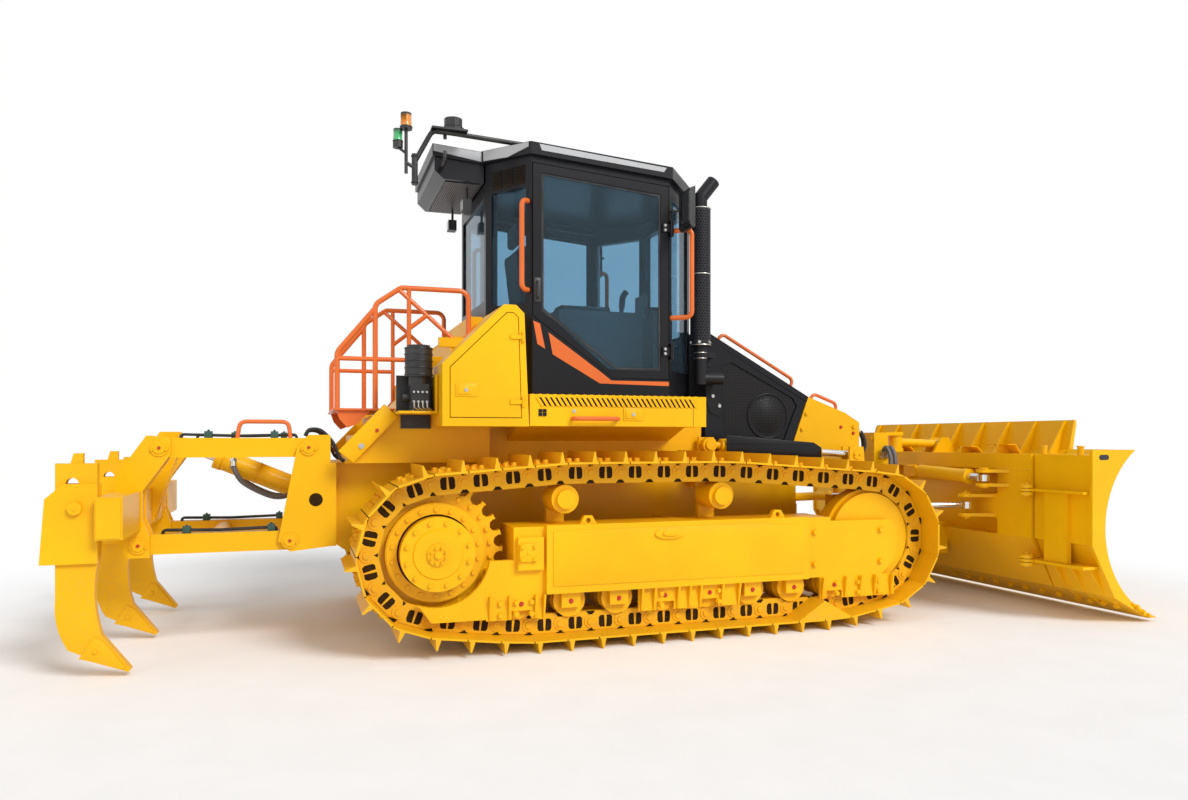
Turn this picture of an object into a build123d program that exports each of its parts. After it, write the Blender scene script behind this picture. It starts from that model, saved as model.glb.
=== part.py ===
from build123d import *
from math import acos, atan2, cos, hypot, pi, sin, sqrt
import os

# Crawler dozer with a power-angle blade and a three-shank ripper.
# Millimetres.  +X is the front, -Y the right-hand side, +Z up; the grousers stand on Z = 0.

os.makedirs("parts", exist_ok=True)

# ---------------------------------------------------------------- driving dimensions
running_gap = 5.0            # between pieces that move past each other
pin_clearance = 0.9          # radial, a pin in its bore
rod_clearance = 0.3          # radial, a piston rod in its gland

# tracks
track_gauge = 1880.0
shoe_width = 560.0
track_pitch = 203.2
grouser_height = 65.0
shoe_thickness = 12.0
pin_to_shoe = 63.0           # pin centre to the inner face of the shoe
pin_to_rail = 65.0           # pin centre to the face the rollers run on
bushing_radius = 30.0
link_width = 42.0
link_gap = 116.0             # clear width between the two link strands
chain_slack = 7.0            # under the chain where it bends over a wheel
roller_seat = 0.3            # under the track rollers, where the chain carries the weight

sprocket_x, sprocket_z = -1472.0, 615.0
sprocket_teeth = 25          # the chain takes every second pocket
sprocket_width = 60.0
idler_x, idler_z = 1620.0, 600.0
idler_pin_radius = 400.0
roller_radius = 83.0
roller_flange = 106.0
first_roller_x = -961.0
roller_spacing = 320.0
roller_count = 8
carrier_radius = 90.0
carrier_x = (-659.0, 439.0)
carrier_z = 922.0

# roller frames
frame_wall = 40.0
frame_half_width = 170.0
frame_bottom, frame_top = 345.0, 760.0
frame_rear, frame_front = -1010.0, 1800.0
cover_length = (-810.0, 1050.0)
cover_proud = 40.0

# hull
hull_half = 420.0
hull_bottom, hull_top = 420.0, 1150.0
hull_rear, hull_front = -2030.0, 1400.0
engine_bay_x = 560.0
engine_bay_z = 850.0
final_drive_radius = 300.0
final_drive_cap = 222.0
equalizer_x, equalizer_z = 250.0, 705.0

# C-frame
pivot_x, pivot_z = -50.0, 450.0
pivot_pin = 45.0
arm_inner, arm_outer = 450.0, 600.0
arm_half_depth = 90.0
cross_rear, cross_front = 2190.0, 2480.0
ball_x, ball_z = 2655.0, 450.0
ball_radius = 85.0
tower_top = 1280.0
lift_base_x, lift_base_z = 577.0, 1262.0
lift_eye_x, lift_eye_z = 1810.0, 1185.0
lift_y = 570.0
lift_barrel, lift_rod = 50.0, 28.0
lift_pin = 24.0
eye_radius = 50.0
eye_gap = 10.0               # between a rod eye and the ears it swings in
ear_thickness = 25.0
tube_facets = 12             # flats round a handrail or a lamp stalk

# blade
blade_half = 1725.0
wing_joint_y = 1200.0
hinge_knuckle = 48.0
hinge_levels = ((400.0, 150.0), (925.0, 60.0))     # height, reach of its plates
moldboard = 28.0
blade_top = (3345.0, 1227.0)
blade_middle = (3067.0, 600.0)
blade_tip = (3540.0, 30.0)
blade_back = 2945.0
hinge_x = blade_back - hinge_knuckle - running_gap
guard_top = 1450.0
link_end_x, link_end_z = 3120.0, 1262.0
tilt_base = (2815.0, -75.0, 1030.0)
tilt_eye = (2830.0, -840.0, 1000.0)
tilt_barrel, tilt_rod = 55.0, 30.0
angle_base = (1780.0, 524.0, 780.0)
angle_eye = (2784.0, 700.0, 780.0)
angle_barrel, angle_rod = 38.0, 22.0

# hood, nose and cab
hood_half = 460.0
panel_thickness = 30.0
hood_rear = (603.0, 2112.0)
hood_front = (1488.0, 1631.0)
nose_brow = (1825.0, 1509.0)
nose_front = (1953.0, 1436.0)
nose_bottom = 1200.0
cab_half = 800.0
cab_rear_x, cab_rear_half = -1050.0, 460.0
cab_front_x, cab_front_half = 500.0, 400.0
door_rear_x, door_front_x = -811.0, 163.0
cab_wall = 60.0
roof_rear = (-1240.0, 3190.0)
roof_front = (360.0, 3078.0)
roof_thickness = 80.0
glass = 8.0
deck_outer = 1100.0
deck_z = 1580.0
box_bottom = 1383.0

# ripper
link_beam_y = 450.0
link_beam_width = 90.0
link_beam_depth = 120.0
ripper_upper = (-2197.0, 1249.0)
ripper_lower = (-2310.0, 665.0)
ripper_reach = 853.0
ripper_pin = 35.0
shank_y = (-950.0, 0.0, 950.0)
shank_thickness = 60.0
shank_width = 200.0
shank_play = 5.0             # between a shank and the bar it stands against
bar_depth = 135.0
bar_setback = 100.0          # from the rear pins of the links to the bar
toolbar_half = 1080.0
ripper_base = (-2135.0, 910.0)
ripper_eye = (-3050.0, 1300.0)
ripper_barrel, ripper_rod = 71.0, 35.0


# ---------------------------------------------------------------- shapes used again and again
def block(x, y, z, mode=Mode.ADD):
    """A square block between two x, two y and two z."""
    with Locations(((x[0] + x[1]) / 2, (y[0] + y[1]) / 2, (z[0] + z[1]) / 2)):
        Box(x[1] - x[0], y[1] - y[0], z[1] - z[0], mode=mode)


def plate(points, y, mode=Mode.ADD):
    """A side profile of (x, z) points, as thick as the two y are apart."""
    with BuildSketch(Plane.XZ.offset(-y[0])) as profile:
        with BuildLine():
            Polyline(*points, close=True)
        make_face()
    extrude(profile.sketch, amount=y[0] - y[1], mode=mode)


def level(points, z, mode=Mode.ADD):
    """A plan of (x, y) points, as thick as the two z are apart."""
    with BuildSketch(Plane.XY.offset(z[0])) as profile:
        with BuildLine():
            Polyline(*points, close=True)
        make_face()
    extrude(profile.sketch, amount=z[1] - z[0], mode=mode)


def rod(start, end, radius, mode=Mode.ADD):
    """A round bar from one point to another."""
    run = Vector(*end) - Vector(*start)
    with BuildSketch(Plane(origin=start, z_dir=run)) as section:
        Circle(radius)
    extrude(section.sketch, amount=run.length, mode=mode)


def cross_pin(x, z, y, radius, mode=Mode.ADD):
    """A round pin, boss or bore that runs across the machine."""
    rod((x, y[0], z), (x, y[1], z), radius, mode)


def bar(start, end, radius):
    """A straight tube of a few flats from one point to another."""
    run = Vector(*end) - Vector(*start)
    with BuildSketch(Plane(origin=start, z_dir=run)) as section:
        RegularPolygon(radius, tube_facets)
    extrude(section.sketch, amount=run.length)


def rail(points, bend, radius):
    """A bent tube of a few flats through the points."""
    with BuildLine() as path:
        FilletPolyline(*points, radius=bend)
    with BuildSketch(Plane(origin=points[0], z_dir=path.line % 0)) as section:
        RegularPolygon(radius, tube_facets)
    sweep(section.sketch, path=path.line)


def mirrored(side, near, far):
    """The two y of a layer on the right (side -1) or the left (side 1), lowest first."""
    return (side * near, side * far) if side > 0 else (side * far, side * near)


def write(builder, label):
    """Label a finished piece and write its file."""
    builder.part.label = label
    export_step(builder.part, "parts/" + label + ".step")


sides = (("right", -1), ("left", 1))
track_y = track_gauge / 2

# ---------------------------------------------------------------- track line
engaged_turn = 4 * pi / sprocket_teeth
sprocket_pin_radius = track_pitch / 2 / sin(engaged_turn / 2)
roller_x = [first_roller_x + roller_spacing * i for i in range(roller_count)]
roller_z = (grouser_height + shoe_thickness + pin_to_shoe + pin_to_rail
            + roller_seat + roller_radius)
end_lift = chain_slack - roller_seat       # the end rollers clear the bending chain
roller_pin_radius = roller_radius + chain_slack + pin_to_rail
carrier_pin_radius = carrier_radius + chain_slack + pin_to_rail

# wheels the pin line wraps, clockwise seen from the right: centre x, centre z, radius
wheels = [
    (sprocket_x, sprocket_z, sprocket_pin_radius),
    (carrier_x[0], carrier_z, carrier_pin_radius),
    (carrier_x[1], carrier_z, carrier_pin_radius),
    (idler_x, idler_z, idler_pin_radius),
    (roller_x[-1], roller_z + end_lift, roller_pin_radius),
    (roller_x[0], roller_z + end_lift, roller_pin_radius),
]


def tangent(a, b):
    """Heading of the outer normal of the straight run between two wheels."""
    dx, dz = b[0] - a[0], b[1] - a[1]
    return atan2(dz, dx) + acos((a[2] - b[2]) / hypot(dx, dz))


normals = [tangent(wheels[i], wheels[(i + 1) % len(wheels)]) for i in range(len(wheels))]
runs = []                    # length, shape and kind of each arc and straight
for i, (cx, cz, r) in enumerate(wheels):
    arrive, leave = normals[i - 1], normals[i]
    turn = (arrive - leave) % (2 * pi)
    runs.append((r * turn, (cx, cz, r, arrive), "arc"))
    nx, nz, nr = wheels[(i + 1) % len(wheels)]
    start = (cx + r * cos(leave), cz + r * sin(leave))
    end = (nx + nr * cos(leave), nz + nr * sin(leave))
    runs.append((hypot(end[0] - start[0], end[1] - start[1]), (start, end), "line"))
track_length = sum(run[0] for run in runs)
shoe_count = round(track_length / track_pitch)


def pin_point(distance):
    """Pin centre at a distance along the track line."""
    distance %= track_length
    for length, shape, kind in runs:
        if distance <= length:
            break
        distance -= length
    if kind == "arc":
        cx, cz, r, arrive = shape
        angle = arrive - distance / r
        return cx + r * cos(angle), cz + r * sin(angle)
    (x0, z0), (x1, z1) = shape
    share = distance / length
    return x0 + (x1 - x0) * share, z0 + (z1 - z0) * share


# the first pin sits at the rearmost point of the sprocket
first_pin = sprocket_pin_radius * ((normals[-1] - pi) % (2 * pi))
pins = [pin_point(first_pin + track_length * i / shoe_count) for i in range(shoe_count)]


def chain_points(offset):
    """The pin line's corners moved outwards by an offset."""
    corners = []
    for i in range(shoe_count):
        (xa, za), (xb, zb), (xc, zc) = pins[i - 1], pins[i], pins[(i + 1) % shoe_count]
        heading = atan2(zc - za, xc - xa) + pi / 2
        half_turn = (atan2(zc - zb, xc - xb) - atan2(zb - za, xb - xa)) / 2
        reach = offset / cos(half_turn)
        corners.append((xb + reach * cos(heading), zb + reach * sin(heading)))
    return corners


def shoe_points():
    """The outer line of the shoes: each a flat plate with one grouser near its front edge."""
    outline = []
    for i in range(shoe_count):
        (xa, za), (xb, zb) = pins[i], pins[(i + 1) % shoe_count]
        chord = hypot(xb - xa, zb - za)
        ux, uz = (xb - xa) / chord, (zb - za) / chord
        face = pin_to_shoe + shoe_thickness
        steps = ((4, face), (chord - 46, face), (chord - 32, face + grouser_height),
                 (chord - 24, face + grouser_height), (chord - 14, face))
        for along, out in steps:
            outline.append((xa + ux * along - uz * out, za + uz * along + ux * out))
    return outline


for name, side in sides:
    middle = side * track_y
    with BuildPart() as track:
        with BuildSketch(Plane.XZ.offset(shoe_width / 2 - middle)) as shoes:
            with BuildLine():
                Polyline(*shoe_points(), close=True)
            make_face()
            with BuildLine():
                Polyline(*chain_points(pin_to_shoe), close=True)
            make_face(mode=Mode.SUBTRACT)
        extrude(amount=-shoe_width)
        strand_middle = (link_gap + link_width) / 2
        for offset in (-strand_middle, strand_middle):
            with BuildSketch(Plane.XZ.offset(link_width / 2 - middle - offset)) as links:
                with BuildLine():
                    Polyline(*chain_points(pin_to_shoe), close=True)
                make_face()
                with BuildLine():
                    Polyline(*chain_points(-pin_to_rail), close=True)
                make_face(mode=Mode.SUBTRACT)
            extrude(amount=-link_width)
        with BuildSketch(Plane.XZ.offset(link_gap / 2 - middle)) as bushings:
            with Locations(*pins):
                RegularPolygon(bushing_radius, 8)
        extrude(amount=-link_gap)
    write(track, "track_" + name)

# ---------------------------------------------------------------- wheels of the undercarriage
strand_outer = link_gap / 2 + link_width
wall_inner = frame_half_width - frame_wall

with BuildPart() as sprocket:
    with BuildSketch(Plane.XZ.offset(sprocket_width / 2)) as toothed:
        with Locations((sprocket_x, sprocket_z)):
            Circle(sprocket_pin_radius + 15)
            Circle(final_drive_radius, mode=Mode.SUBTRACT)
            with PolarLocations(sprocket_pin_radius, sprocket_teeth, start_angle=180):
                RegularPolygon(bushing_radius + 10, 8, mode=Mode.SUBTRACT)
    extrude(amount=-sprocket_width)
def turned(x, z, steps):
    """A stepped round piece across the machine: (near y, far y, radius) from the centre line."""
    for name, side in sides:
        for near, far, radius in steps:
            cross_pin(x, z, mirrored(side, near, far), radius)


with BuildPart() as final_drives:
    with Locations((0, -track_y, 0), (0, track_y, 0)):
        add(sprocket.part)
    outer_face = track_y + sprocket_width / 2
    inner_face = track_y - sprocket_width / 2
    turned(sprocket_x, sprocket_z, (
        (inner_face - 60, outer_face + 55, final_drive_radius),
        (outer_face + 55, outer_face + 150, final_drive_cap),
        (outer_face + 150, outer_face + 172, 66),
        (hull_half, inner_face - 60, final_drive_radius - 50),
    ))
write(final_drives, "final_drives")

idler_tread = sqrt(idler_pin_radius**2 - track_pitch**2 / 4) - pin_to_rail - running_gap
idler_half = link_gap / 2 - running_gap
with BuildPart() as front_idlers:
    turned(idler_x, idler_z, (
        (track_y - idler_half, track_y + idler_half, idler_tread + 24),
        (track_y - strand_outer, track_y - idler_half, idler_tread),
        (track_y + idler_half, track_y + strand_outer, idler_tread),
        (track_y - wall_inner, track_y - strand_outer, 95),
        (track_y + strand_outer, track_y + wall_inner, 95),
    ))
write(front_idlers, "front_idlers")

roller_facets = 16


def faceted(x, z, y, radius):
    """A round piece across the machine made of a few flats."""
    with BuildSketch(Plane.XZ.offset(-y[0])) as section:
        with Locations((x, z)):
            RegularPolygon(radius, roller_facets)
    extrude(section.sketch, amount=y[0] - y[1])


with BuildPart() as roller:
    groove = strand_outer + running_gap
    faceted(0, 0, (-groove, groove), roller_radius)
    faceted(0, 0, (-link_gap / 2 + running_gap, link_gap / 2 - running_gap), roller_flange)
    for name, side in sides:
        faceted(0, 0, mirrored(side, groove, wall_inner - 4), roller_flange)
        collar = mirrored(side, wall_inner - 4, wall_inner)
        block((-40, 40), collar, (-30, 30))
with BuildPart() as saddle:
    for name, side in sides:
        collar = mirrored(side, wall_inner, frame_half_width)
        block((-62, 62), collar, (-40, frame_bottom - roller_z))

with BuildPart() as track_rollers:
    for name, side in sides:
        for x in roller_x:
            lifted = end_lift if x in (roller_x[0], roller_x[-1]) else 0
            with Locations((x, side * track_y, roller_z + lifted)):
                add(roller.part)
            with Locations((x, side * track_y, roller_z)):
                add(saddle.part)
write(track_rollers, "track_rollers")

with BuildPart() as carrier_rollers:
    for x in carrier_x:
        turned(x, carrier_z, (
            (track_y - strand_outer - 20, track_y + strand_outer, carrier_radius),
            (track_y + strand_outer, track_y + strand_outer + 30, carrier_radius - 30),
            (track_y - frame_half_width, track_y - strand_outer - 20, 45),
        ))
        for name, side in sides:
            middle = side * track_y
            inner = mirrored(side, track_y - frame_half_width, track_y - strand_outer - 30)
            block((x - 60, x + 60), inner, (frame_top, carrier_z))
write(carrier_rollers, "carrier_rollers")

# ---------------------------------------------------------------- roller frames
idler_cut = idler_x - idler_tread - 24 - 30
sprocket_cut = final_drive_radius + 20
side_outline = (
    (frame_rear - 590, 330), (frame_rear - 500, 205), (frame_rear - 60, 205),
    (frame_rear + 200, frame_bottom), (frame_front - 130, frame_bottom),
    (frame_front, frame_bottom + 120), (frame_front, frame_top - 90),
    (frame_front - 60, frame_top - 30), (frame_rear, frame_top - 10), (frame_rear, 560),
    (sprocket_x, 560), (sprocket_x - 120, 330),
)
for name, side in sides:
    outer = mirrored(side, track_y + wall_inner, track_y + frame_half_width)
    inner = mirrored(side, track_y - frame_half_width, track_y - wall_inner)
    proud = mirrored(side, track_y + frame_half_width, track_y + frame_half_width + cover_proud)
    span = mirrored(side, track_y - frame_half_width, track_y + frame_half_width)
    cavity = mirrored(side, track_y - wall_inner, track_y + wall_inner)
    with BuildPart() as track_frame:
        plate(side_outline, outer)
        cross_pin(sprocket_x, sprocket_z, outer, sprocket_cut, Mode.SUBTRACT)
        plate(((frame_rear, frame_bottom), (frame_front, frame_bottom),
               (frame_front, frame_top - 30), (frame_rear, frame_top - 30)), inner)
        block((frame_rear, idler_cut), span, (roller_z + roller_flange + 20, frame_top))
        block((frame_rear + 30, frame_rear + 200), outer, (frame_bottom, frame_top))
        plate(((cover_length[0], frame_bottom), (cover_length[1], frame_bottom),
               (cover_length[1], frame_top + 10), (cover_length[0], frame_top + 10)), proud)
        block((frame_rear + 20, frame_rear + 180), proud, (500, 700))
        for x in (-527, 831):
            plate(((x - 60, frame_top), (x + 60, frame_top), (x + 25, frame_top + 60),
                   (x - 25, frame_top + 60)), outer)
            cross_pin(x, frame_top + 30, outer, 16, Mode.SUBTRACT)
        for start, end in ((-1180, -809), (-188, 540), (1162, 1777)):
            guard = mirrored(side, track_y + frame_half_width - 14, track_y + frame_half_width)
            block((start, end), guard, (frame_bottom - 150, frame_bottom))
        for x in roller_x:
            middle = side * track_y
            block((x - 62, x + 62), cavity, (frame_bottom - 80, roller_z + roller_flange + 8),
                  Mode.SUBTRACT)
            block((x - 62, x + 62), span, (frame_bottom - 160, frame_bottom), Mode.SUBTRACT)
    write(track_frame, "track_frame_" + name)

# ---------------------------------------------------------------- hull, engine and bodywork
ear_inner = lift_y - eye_radius / 2 - eye_gap - ear_thickness
hull_side = (
    (hull_rear, 620), (hull_rear + 300, hull_bottom), (hull_front - 150, hull_bottom),
    (hull_front, hull_bottom + 130), (hull_front, hull_top), (engine_bay_x, hull_top),
    (hull_rear, hull_top),
)
near_edge = ear_inner + ear_thickness - 1
pin_end = lift_y + eye_radius / 2 + running_gap
with BuildPart() as main_frame:
    plate(hull_side, (-hull_half, hull_half))
    block((engine_bay_x, hull_front - 40), (-hull_half + 40, hull_half - 40),
          (engine_bay_z, hull_top), Mode.SUBTRACT)
    turned(pivot_x, pivot_z, ((hull_half, arm_inner - running_gap, 110),
                              (hull_half, arm_outer + running_gap, pivot_pin)))
    for name, side in sides:
        block((equalizer_x - 45, equalizer_x + 45), mirrored(side, hull_half,
              track_y - frame_half_width), (equalizer_z - 45, equalizer_z + 45))
write(main_frame, "main_frame")

with BuildPart() as lift_brackets:
    for name, side in sides:
        block((lift_base_x - 90, lift_base_x + 90), mirrored(side, hull_half, ear_inner + ear_thickness),
              (hull_top - 200, hull_top - 10))
        near = mirrored(side, ear_inner, ear_inner + ear_thickness)
        plate(((lift_base_x - 90, hull_top - 200), (lift_base_x + 90, hull_top - 200),
               (lift_base_x + 60, lift_base_z + 55), (lift_base_x - 60, lift_base_z + 55)), near)
        cross_pin(lift_base_x, lift_base_z, mirrored(side, near_edge, pin_end), lift_pin)
        cross_pin(lift_base_x, lift_base_z, mirrored(side, pin_end, pin_end + 10), lift_pin + 12)
write(lift_brackets, "lift_brackets")

with BuildPart() as engine:
    block((engine_bay_x + 80, hull_front - 170), (-300, 300), (engine_bay_z, 1480))
write(engine, "engine")

panel_foot = (1336.0, 1226.0)          # lower end of the slanted joint between panel and nose
sill = panel_foot[1]
hood_inner = hood_half - panel_thickness
seam_lean = (hood_front[0] - panel_foot[0]) / (hood_front[1] - panel_foot[1])


def seam_x(z):
    """Where the slanted joint between hood and nose lies at a height."""
    return panel_foot[0] + seam_lean * (z - panel_foot[1])


with BuildPart() as hood:
    plate((hood_rear, hood_front, (seam_x(hood_front[1] - 40), hood_front[1] - 40),
           (hood_rear[0], hood_rear[1] - 45)), (-hood_half, hood_half))
    block((hood_rear[0], hood_rear[0] + panel_thickness), (-hood_half, hood_half),
          (hull_top, hood_rear[1] - 45))
    for name, side in sides:
        block((hood_rear[0], panel_foot[0] - 20), mirrored(side, hood_inner, hood_half),
              (hull_top, sill))
write(hood, "hood")

panel_side = ((hood_rear[0] + panel_thickness, sill), (panel_foot[0] - 10, sill),
              (seam_x(hood_front[1] - 40) - 10, hood_front[1] - 40),
              (hood_rear[0] + panel_thickness, hood_rear[1] - 63))
mesh_side = ((760, 1290), (1270, 1290), (1385, 1560), (1350, 1620), (820, 1880), (740, 1850))
with BuildPart() as engine_side_panels:
    for name, side in sides:
        plate(panel_side, mirrored(side, hood_inner, hood_half))
        plate(mesh_side, mirrored(side, hood_half - 12, hood_half), Mode.SUBTRACT)
        cross_pin(1130, 1480, mirrored(side, hood_inner, hood_half - 6), 175)
write(engine_side_panels, "engine_side_panels")

nose_side = (panel_foot, hood_front, nose_brow, nose_front, (nose_front[0], nose_bottom),
             (hull_front, hull_top), (panel_foot[0], hull_top))
with BuildPart() as nose:
    plate(nose_side, (-hood_half, hood_half))
    plate(((panel_foot[0] + 40, hull_top), (hood_front[0] + 15, hood_front[1] - 60),
           (nose_brow[0] - 10, nose_brow[1] - 40), (nose_front[0] - 40, nose_front[1] - 35),
           (nose_front[0] - 40, nose_bottom + 30), (hull_front, hull_top + 25)),
          (-hood_inner, hood_inner), Mode.SUBTRACT)
    block((panel_foot[0], hood_front[0] + 10), (-hood_inner, hood_inner),
          (hull_top, hood_front[1] - 45), Mode.SUBTRACT)
    block((nose_front[0] - 60, nose_front[0] + 10), (-hood_inner + 60, hood_inner - 60),
          (nose_bottom + 60, nose_front[1] - 40), Mode.SUBTRACT)
write(nose, "nose")

grille_bars, grille_depth = 7, 30.0
grille_low, grille_high = nose_bottom + 60, nose_front[1] - 40
with BuildPart() as front_grille:
    back = nose_front[0] - 40
    block((back - 5, back), (-hood_inner + 30, hood_inner - 30), (grille_low - 20, grille_high + 2))
    for i in range(grille_bars):
        z = grille_low + (grille_high - grille_low) * (i + 0.5) / grille_bars
        plate(((back - 2, z - 8), (back + grille_depth, z - 4), (back + grille_depth, z + 4),
               (back - 2, z + 4)), (-hood_inner + 62, hood_inner - 62))
write(front_grille, "front_grille")

# ---------------------------------------------------------------- deck, cabinets and rear body
deck_inner = 480.0
cabinet_inner = 680.0
wedge_half = 640.0
wedge_front = cab_rear_x - 10
step_top = (-1070.0, 2127.0)
wedge_rear = (-1986.0, hull_top)
slope = (step_top[1] - wedge_rear[1]) / (step_top[0] - wedge_rear[0])

with BuildPart() as cab_base:
    block((wedge_front, engine_bay_x), (-deck_inner, deck_inner), (hull_top, deck_z))
write(cab_base, "cab_base")

with BuildPart() as rear_body:
    plate((wedge_rear, (wedge_front, hull_top), (wedge_front, step_top[1]), step_top),
          (-wedge_half, wedge_half))
    for name, side in sides:
        for low in (1400, 1900):
            block((wedge_front - 340, wedge_front), mirrored(side, wedge_half, cabinet_inner),
                  (low, low + 60))
    tread_depth, tread_rise = 130.0, 12.0
    for x in (-1920, -1800, -1560, -1430, -1300, -1170):
        z = wedge_rear[1] + slope * (x - wedge_rear[0])
        plate(((x, z), (x + tread_depth - 40, z + slope * (tread_depth - 40)),
               (x + tread_depth - 40, z + slope * (tread_depth - 40) + tread_rise),
               (x, z + slope * (tread_depth - 40) + tread_rise)), (-500, 500))
write(rear_body, "rear_body")

cab_plan = [(cab_front_x, -cab_front_half), (cab_front_x, cab_front_half),
            (door_front_x, cab_half), (door_rear_x, cab_half),
            (cab_rear_x, cab_rear_half), (cab_rear_x, -cab_rear_half),
            (door_rear_x, -cab_half), (door_front_x, -cab_half)]
platform_z = 1500.0
rail_y, rail_radius = 523.0, 17.0


def slope_z(x):
    """Height of the sloping rear body at an x."""
    return wedge_rear[1] + slope * (x - wedge_rear[0])


def raised_rail(a, b, margin, height, y):
    """A grab rail that stands square on the slope from a to b, given in (x, z)."""
    run = hypot(b[0] - a[0], b[1] - a[1])
    ux, uz = (b[0] - a[0]) / run, (b[1] - a[1]) / run
    points = [(a[0] + ux * along - uz * up, y, a[1] + uz * along + ux * up)
              for along, up in ((margin, 0), (margin, height),
                                (run - margin, height), (run - margin, 0))]
    rail(points, 40, 13)


def wall_rail(a, b, share, reach, low, high):
    """An upright grab rail square to the cab wall from a to b, part of the way along."""
    run = hypot(b[0] - a[0], b[1] - a[1])
    x, y = a[0] + (b[0] - a[0]) * share, a[1] + (b[1] - a[1]) * share
    out_x, out_y = (b[1] - a[1]) / run * reach, -(b[0] - a[0]) / run * reach
    rail([(x, y, low), (x + out_x, y + out_y, low), (x + out_x, y + out_y, high), (x, y, high)],
         40, rail_radius)


with BuildPart() as rear_rails:
    plate(((-2050, platform_z - 12), (-1640, platform_z - 12), (-1640, platform_z),
           (-2050, platform_z)), (-rail_y - 20, rail_y + 20))
    for name, side in sides:
        y = side * rail_y
        for rear, front in ((-1612, -1534), (-1262, -1132)):
            plate(((rear, slope_z(rear)), (front, slope_z(front)), (front, slope_z(front) + 12),
                   (rear, slope_z(rear) + 12)), mirrored(side, rail_y - 20, rail_y + 20))
        rail([(-1788, y, platform_z - 6), (-1788, y, 2176), (-1623, y, 2292), (-1180, y, 2292),
              (-1180, y, slope_z(-1180) - 10)], 60, rail_radius)
        rail([(-2025, y, platform_z - 6), (-2025, y, 1860), (-1788, y, 2150)], 80, rail_radius)
        for start, end in (((-1573, slope_z(-1573) - 10), (-1573, 2292)),
                           ((-1640, 2280), (-1243, slope_z(-1243) - 10)),
                           ((-1573, 2026), (-1454, 2121)),
                           ((-2025, 1820), (-1573, 1820))):
            bar((start[0], y, start[1]), (end[0], y, end[1]), rail_radius - 2)
        raised_rail(hood_rear, hood_front, 150, 70, side * 400)
        raised_rail(hood_front, nose_brow, 60, 55, side * 400)
    for i, j, share, reach, low, high in ((7, 0, 0.07, 150, 2142, 2745), (1, 2, 0.93, 150, 2142, 2745),
                                          (5, 6, 0.911, 62, 2281, 2864), (3, 4, 0.089, 62, 2281, 2864)):
        wall_rail(cab_plan[i], cab_plan[j], share, reach, low, high)
    plate((wedge_rear, (wedge_front, hull_top), (wedge_front, step_top[1]), step_top),
          (-wedge_half, wedge_half), Mode.SUBTRACT)
write(rear_rails, "rear_rails")

pump_x, pump_y = -1553.0, -856.0
shelf_z = 1472.0
with BuildPart() as grease_pump:
    block((-1640, -1450), (-wedge_half - 12, -wedge_half), (1370, 1480))
    block((-1680, -1450), (-945, -wedge_half), (shelf_z - 12, shelf_z))
    block((-1680, -1450), (pump_y + 88, pump_y + 96), (shelf_z - 6, 1700))
    block((pump_x - 55, pump_x + 55), (pump_y - 70, pump_y + 88), (shelf_z - 2, 1640))
    rod((pump_x, pump_y, 1630), (pump_x, pump_y, 1690), 62)
    rod((pump_x, pump_y, 1688), (pump_x, pump_y, 1868), 84)
    rod((pump_x, pump_y, 1866), (pump_x, pump_y, 1882), 70)
    rod((pump_x - 54, pump_y, 1560), (pump_x - 95, pump_y, 1560), 26)
write(grease_pump, "grease_pump")

walkway_rear, walkway_front = -905.0, 297.0
cabinet_side = ((-1444, 1380), (-1444, 1755), (-1067, 2127), (-992, 2127), (-940, 2077),
                (walkway_rear - 5, 1380))
door_side = ((-1400, 1430), (-1400, 1735), (-1050, 2080), (-1005, 2080), (-975, 2050),
             (-955, 1430))
with BuildPart() as walkways:
    for name, side in sides:
        with BuildSketch(Plane.YZ.offset(walkway_rear)) as section:
            with BuildLine():
                Polyline((side * deck_inner, 1290), (side * deck_inner, deck_z),
                         (side * deck_outer, deck_z), (side * deck_outer, box_bottom),
                         (side * 760, box_bottom), close=True)
            make_face()
        extrude(section.sketch, amount=walkway_front - walkway_rear)
write(walkways, "walkways")

cabinet_hinge_x, cabinet_hinge_y = -950.0, deck_outer + 10
hinge_barrel, hinge_pin = 9.0, 5.0
with BuildPart() as cabinets:
    for name, side in sides:
        plate(cabinet_side, mirrored(side, cabinet_inner, deck_outer))
        plate(door_side, mirrored(side, deck_outer - 300, deck_outer), Mode.SUBTRACT)
        at = (cabinet_hinge_x, side * cabinet_hinge_y)
        for low in (1500, 1900):
            rod((*at, low), (*at, low + 60), hinge_pin)
            for end in (low, low + 45):
                rod((*at, end), (*at, end + 15), hinge_barrel)
                block((cabinet_hinge_x - 2, cabinet_hinge_x + 12),
                      mirrored(side, deck_outer - 5, cabinet_hinge_y), (end, end + 15))
write(cabinets, "cabinets")

for name, side in sides:
    with BuildPart() as cabinet_door:
        gap = running_gap
        plate(((-1400 + gap, 1430 + gap), (-1400 + gap, 1733), (-1048, 2080 - gap),
               (-1007, 2080 - gap), (-975 - gap, 2048), (-955 - gap, 1430 + gap)),
              mirrored(side, deck_outer - 25, deck_outer))
        at = (cabinet_hinge_x, side * cabinet_hinge_y)
        for low in (1517, 1917):
            block((cabinet_hinge_x - 80, cabinet_hinge_x - 40),
                  mirrored(side, deck_outer - 1, deck_outer + 8), (low, low + 26))
            block((cabinet_hinge_x - 80, cabinet_hinge_x),
                  mirrored(side, deck_outer + 5, deck_outer + 10), (low, low + 26))
            rod((*at, low), (*at, low + 26), hinge_barrel)
            rod((*at, low - 1), (*at, low + 27), hinge_pin + pin_clearance, Mode.SUBTRACT)
    write(cabinet_door, "cabinet_door_" + name)

# ---------------------------------------------------------------- cab
roof_fall = (roof_front[1] - roof_rear[1]) / (roof_front[0] - roof_rear[0])


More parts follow.
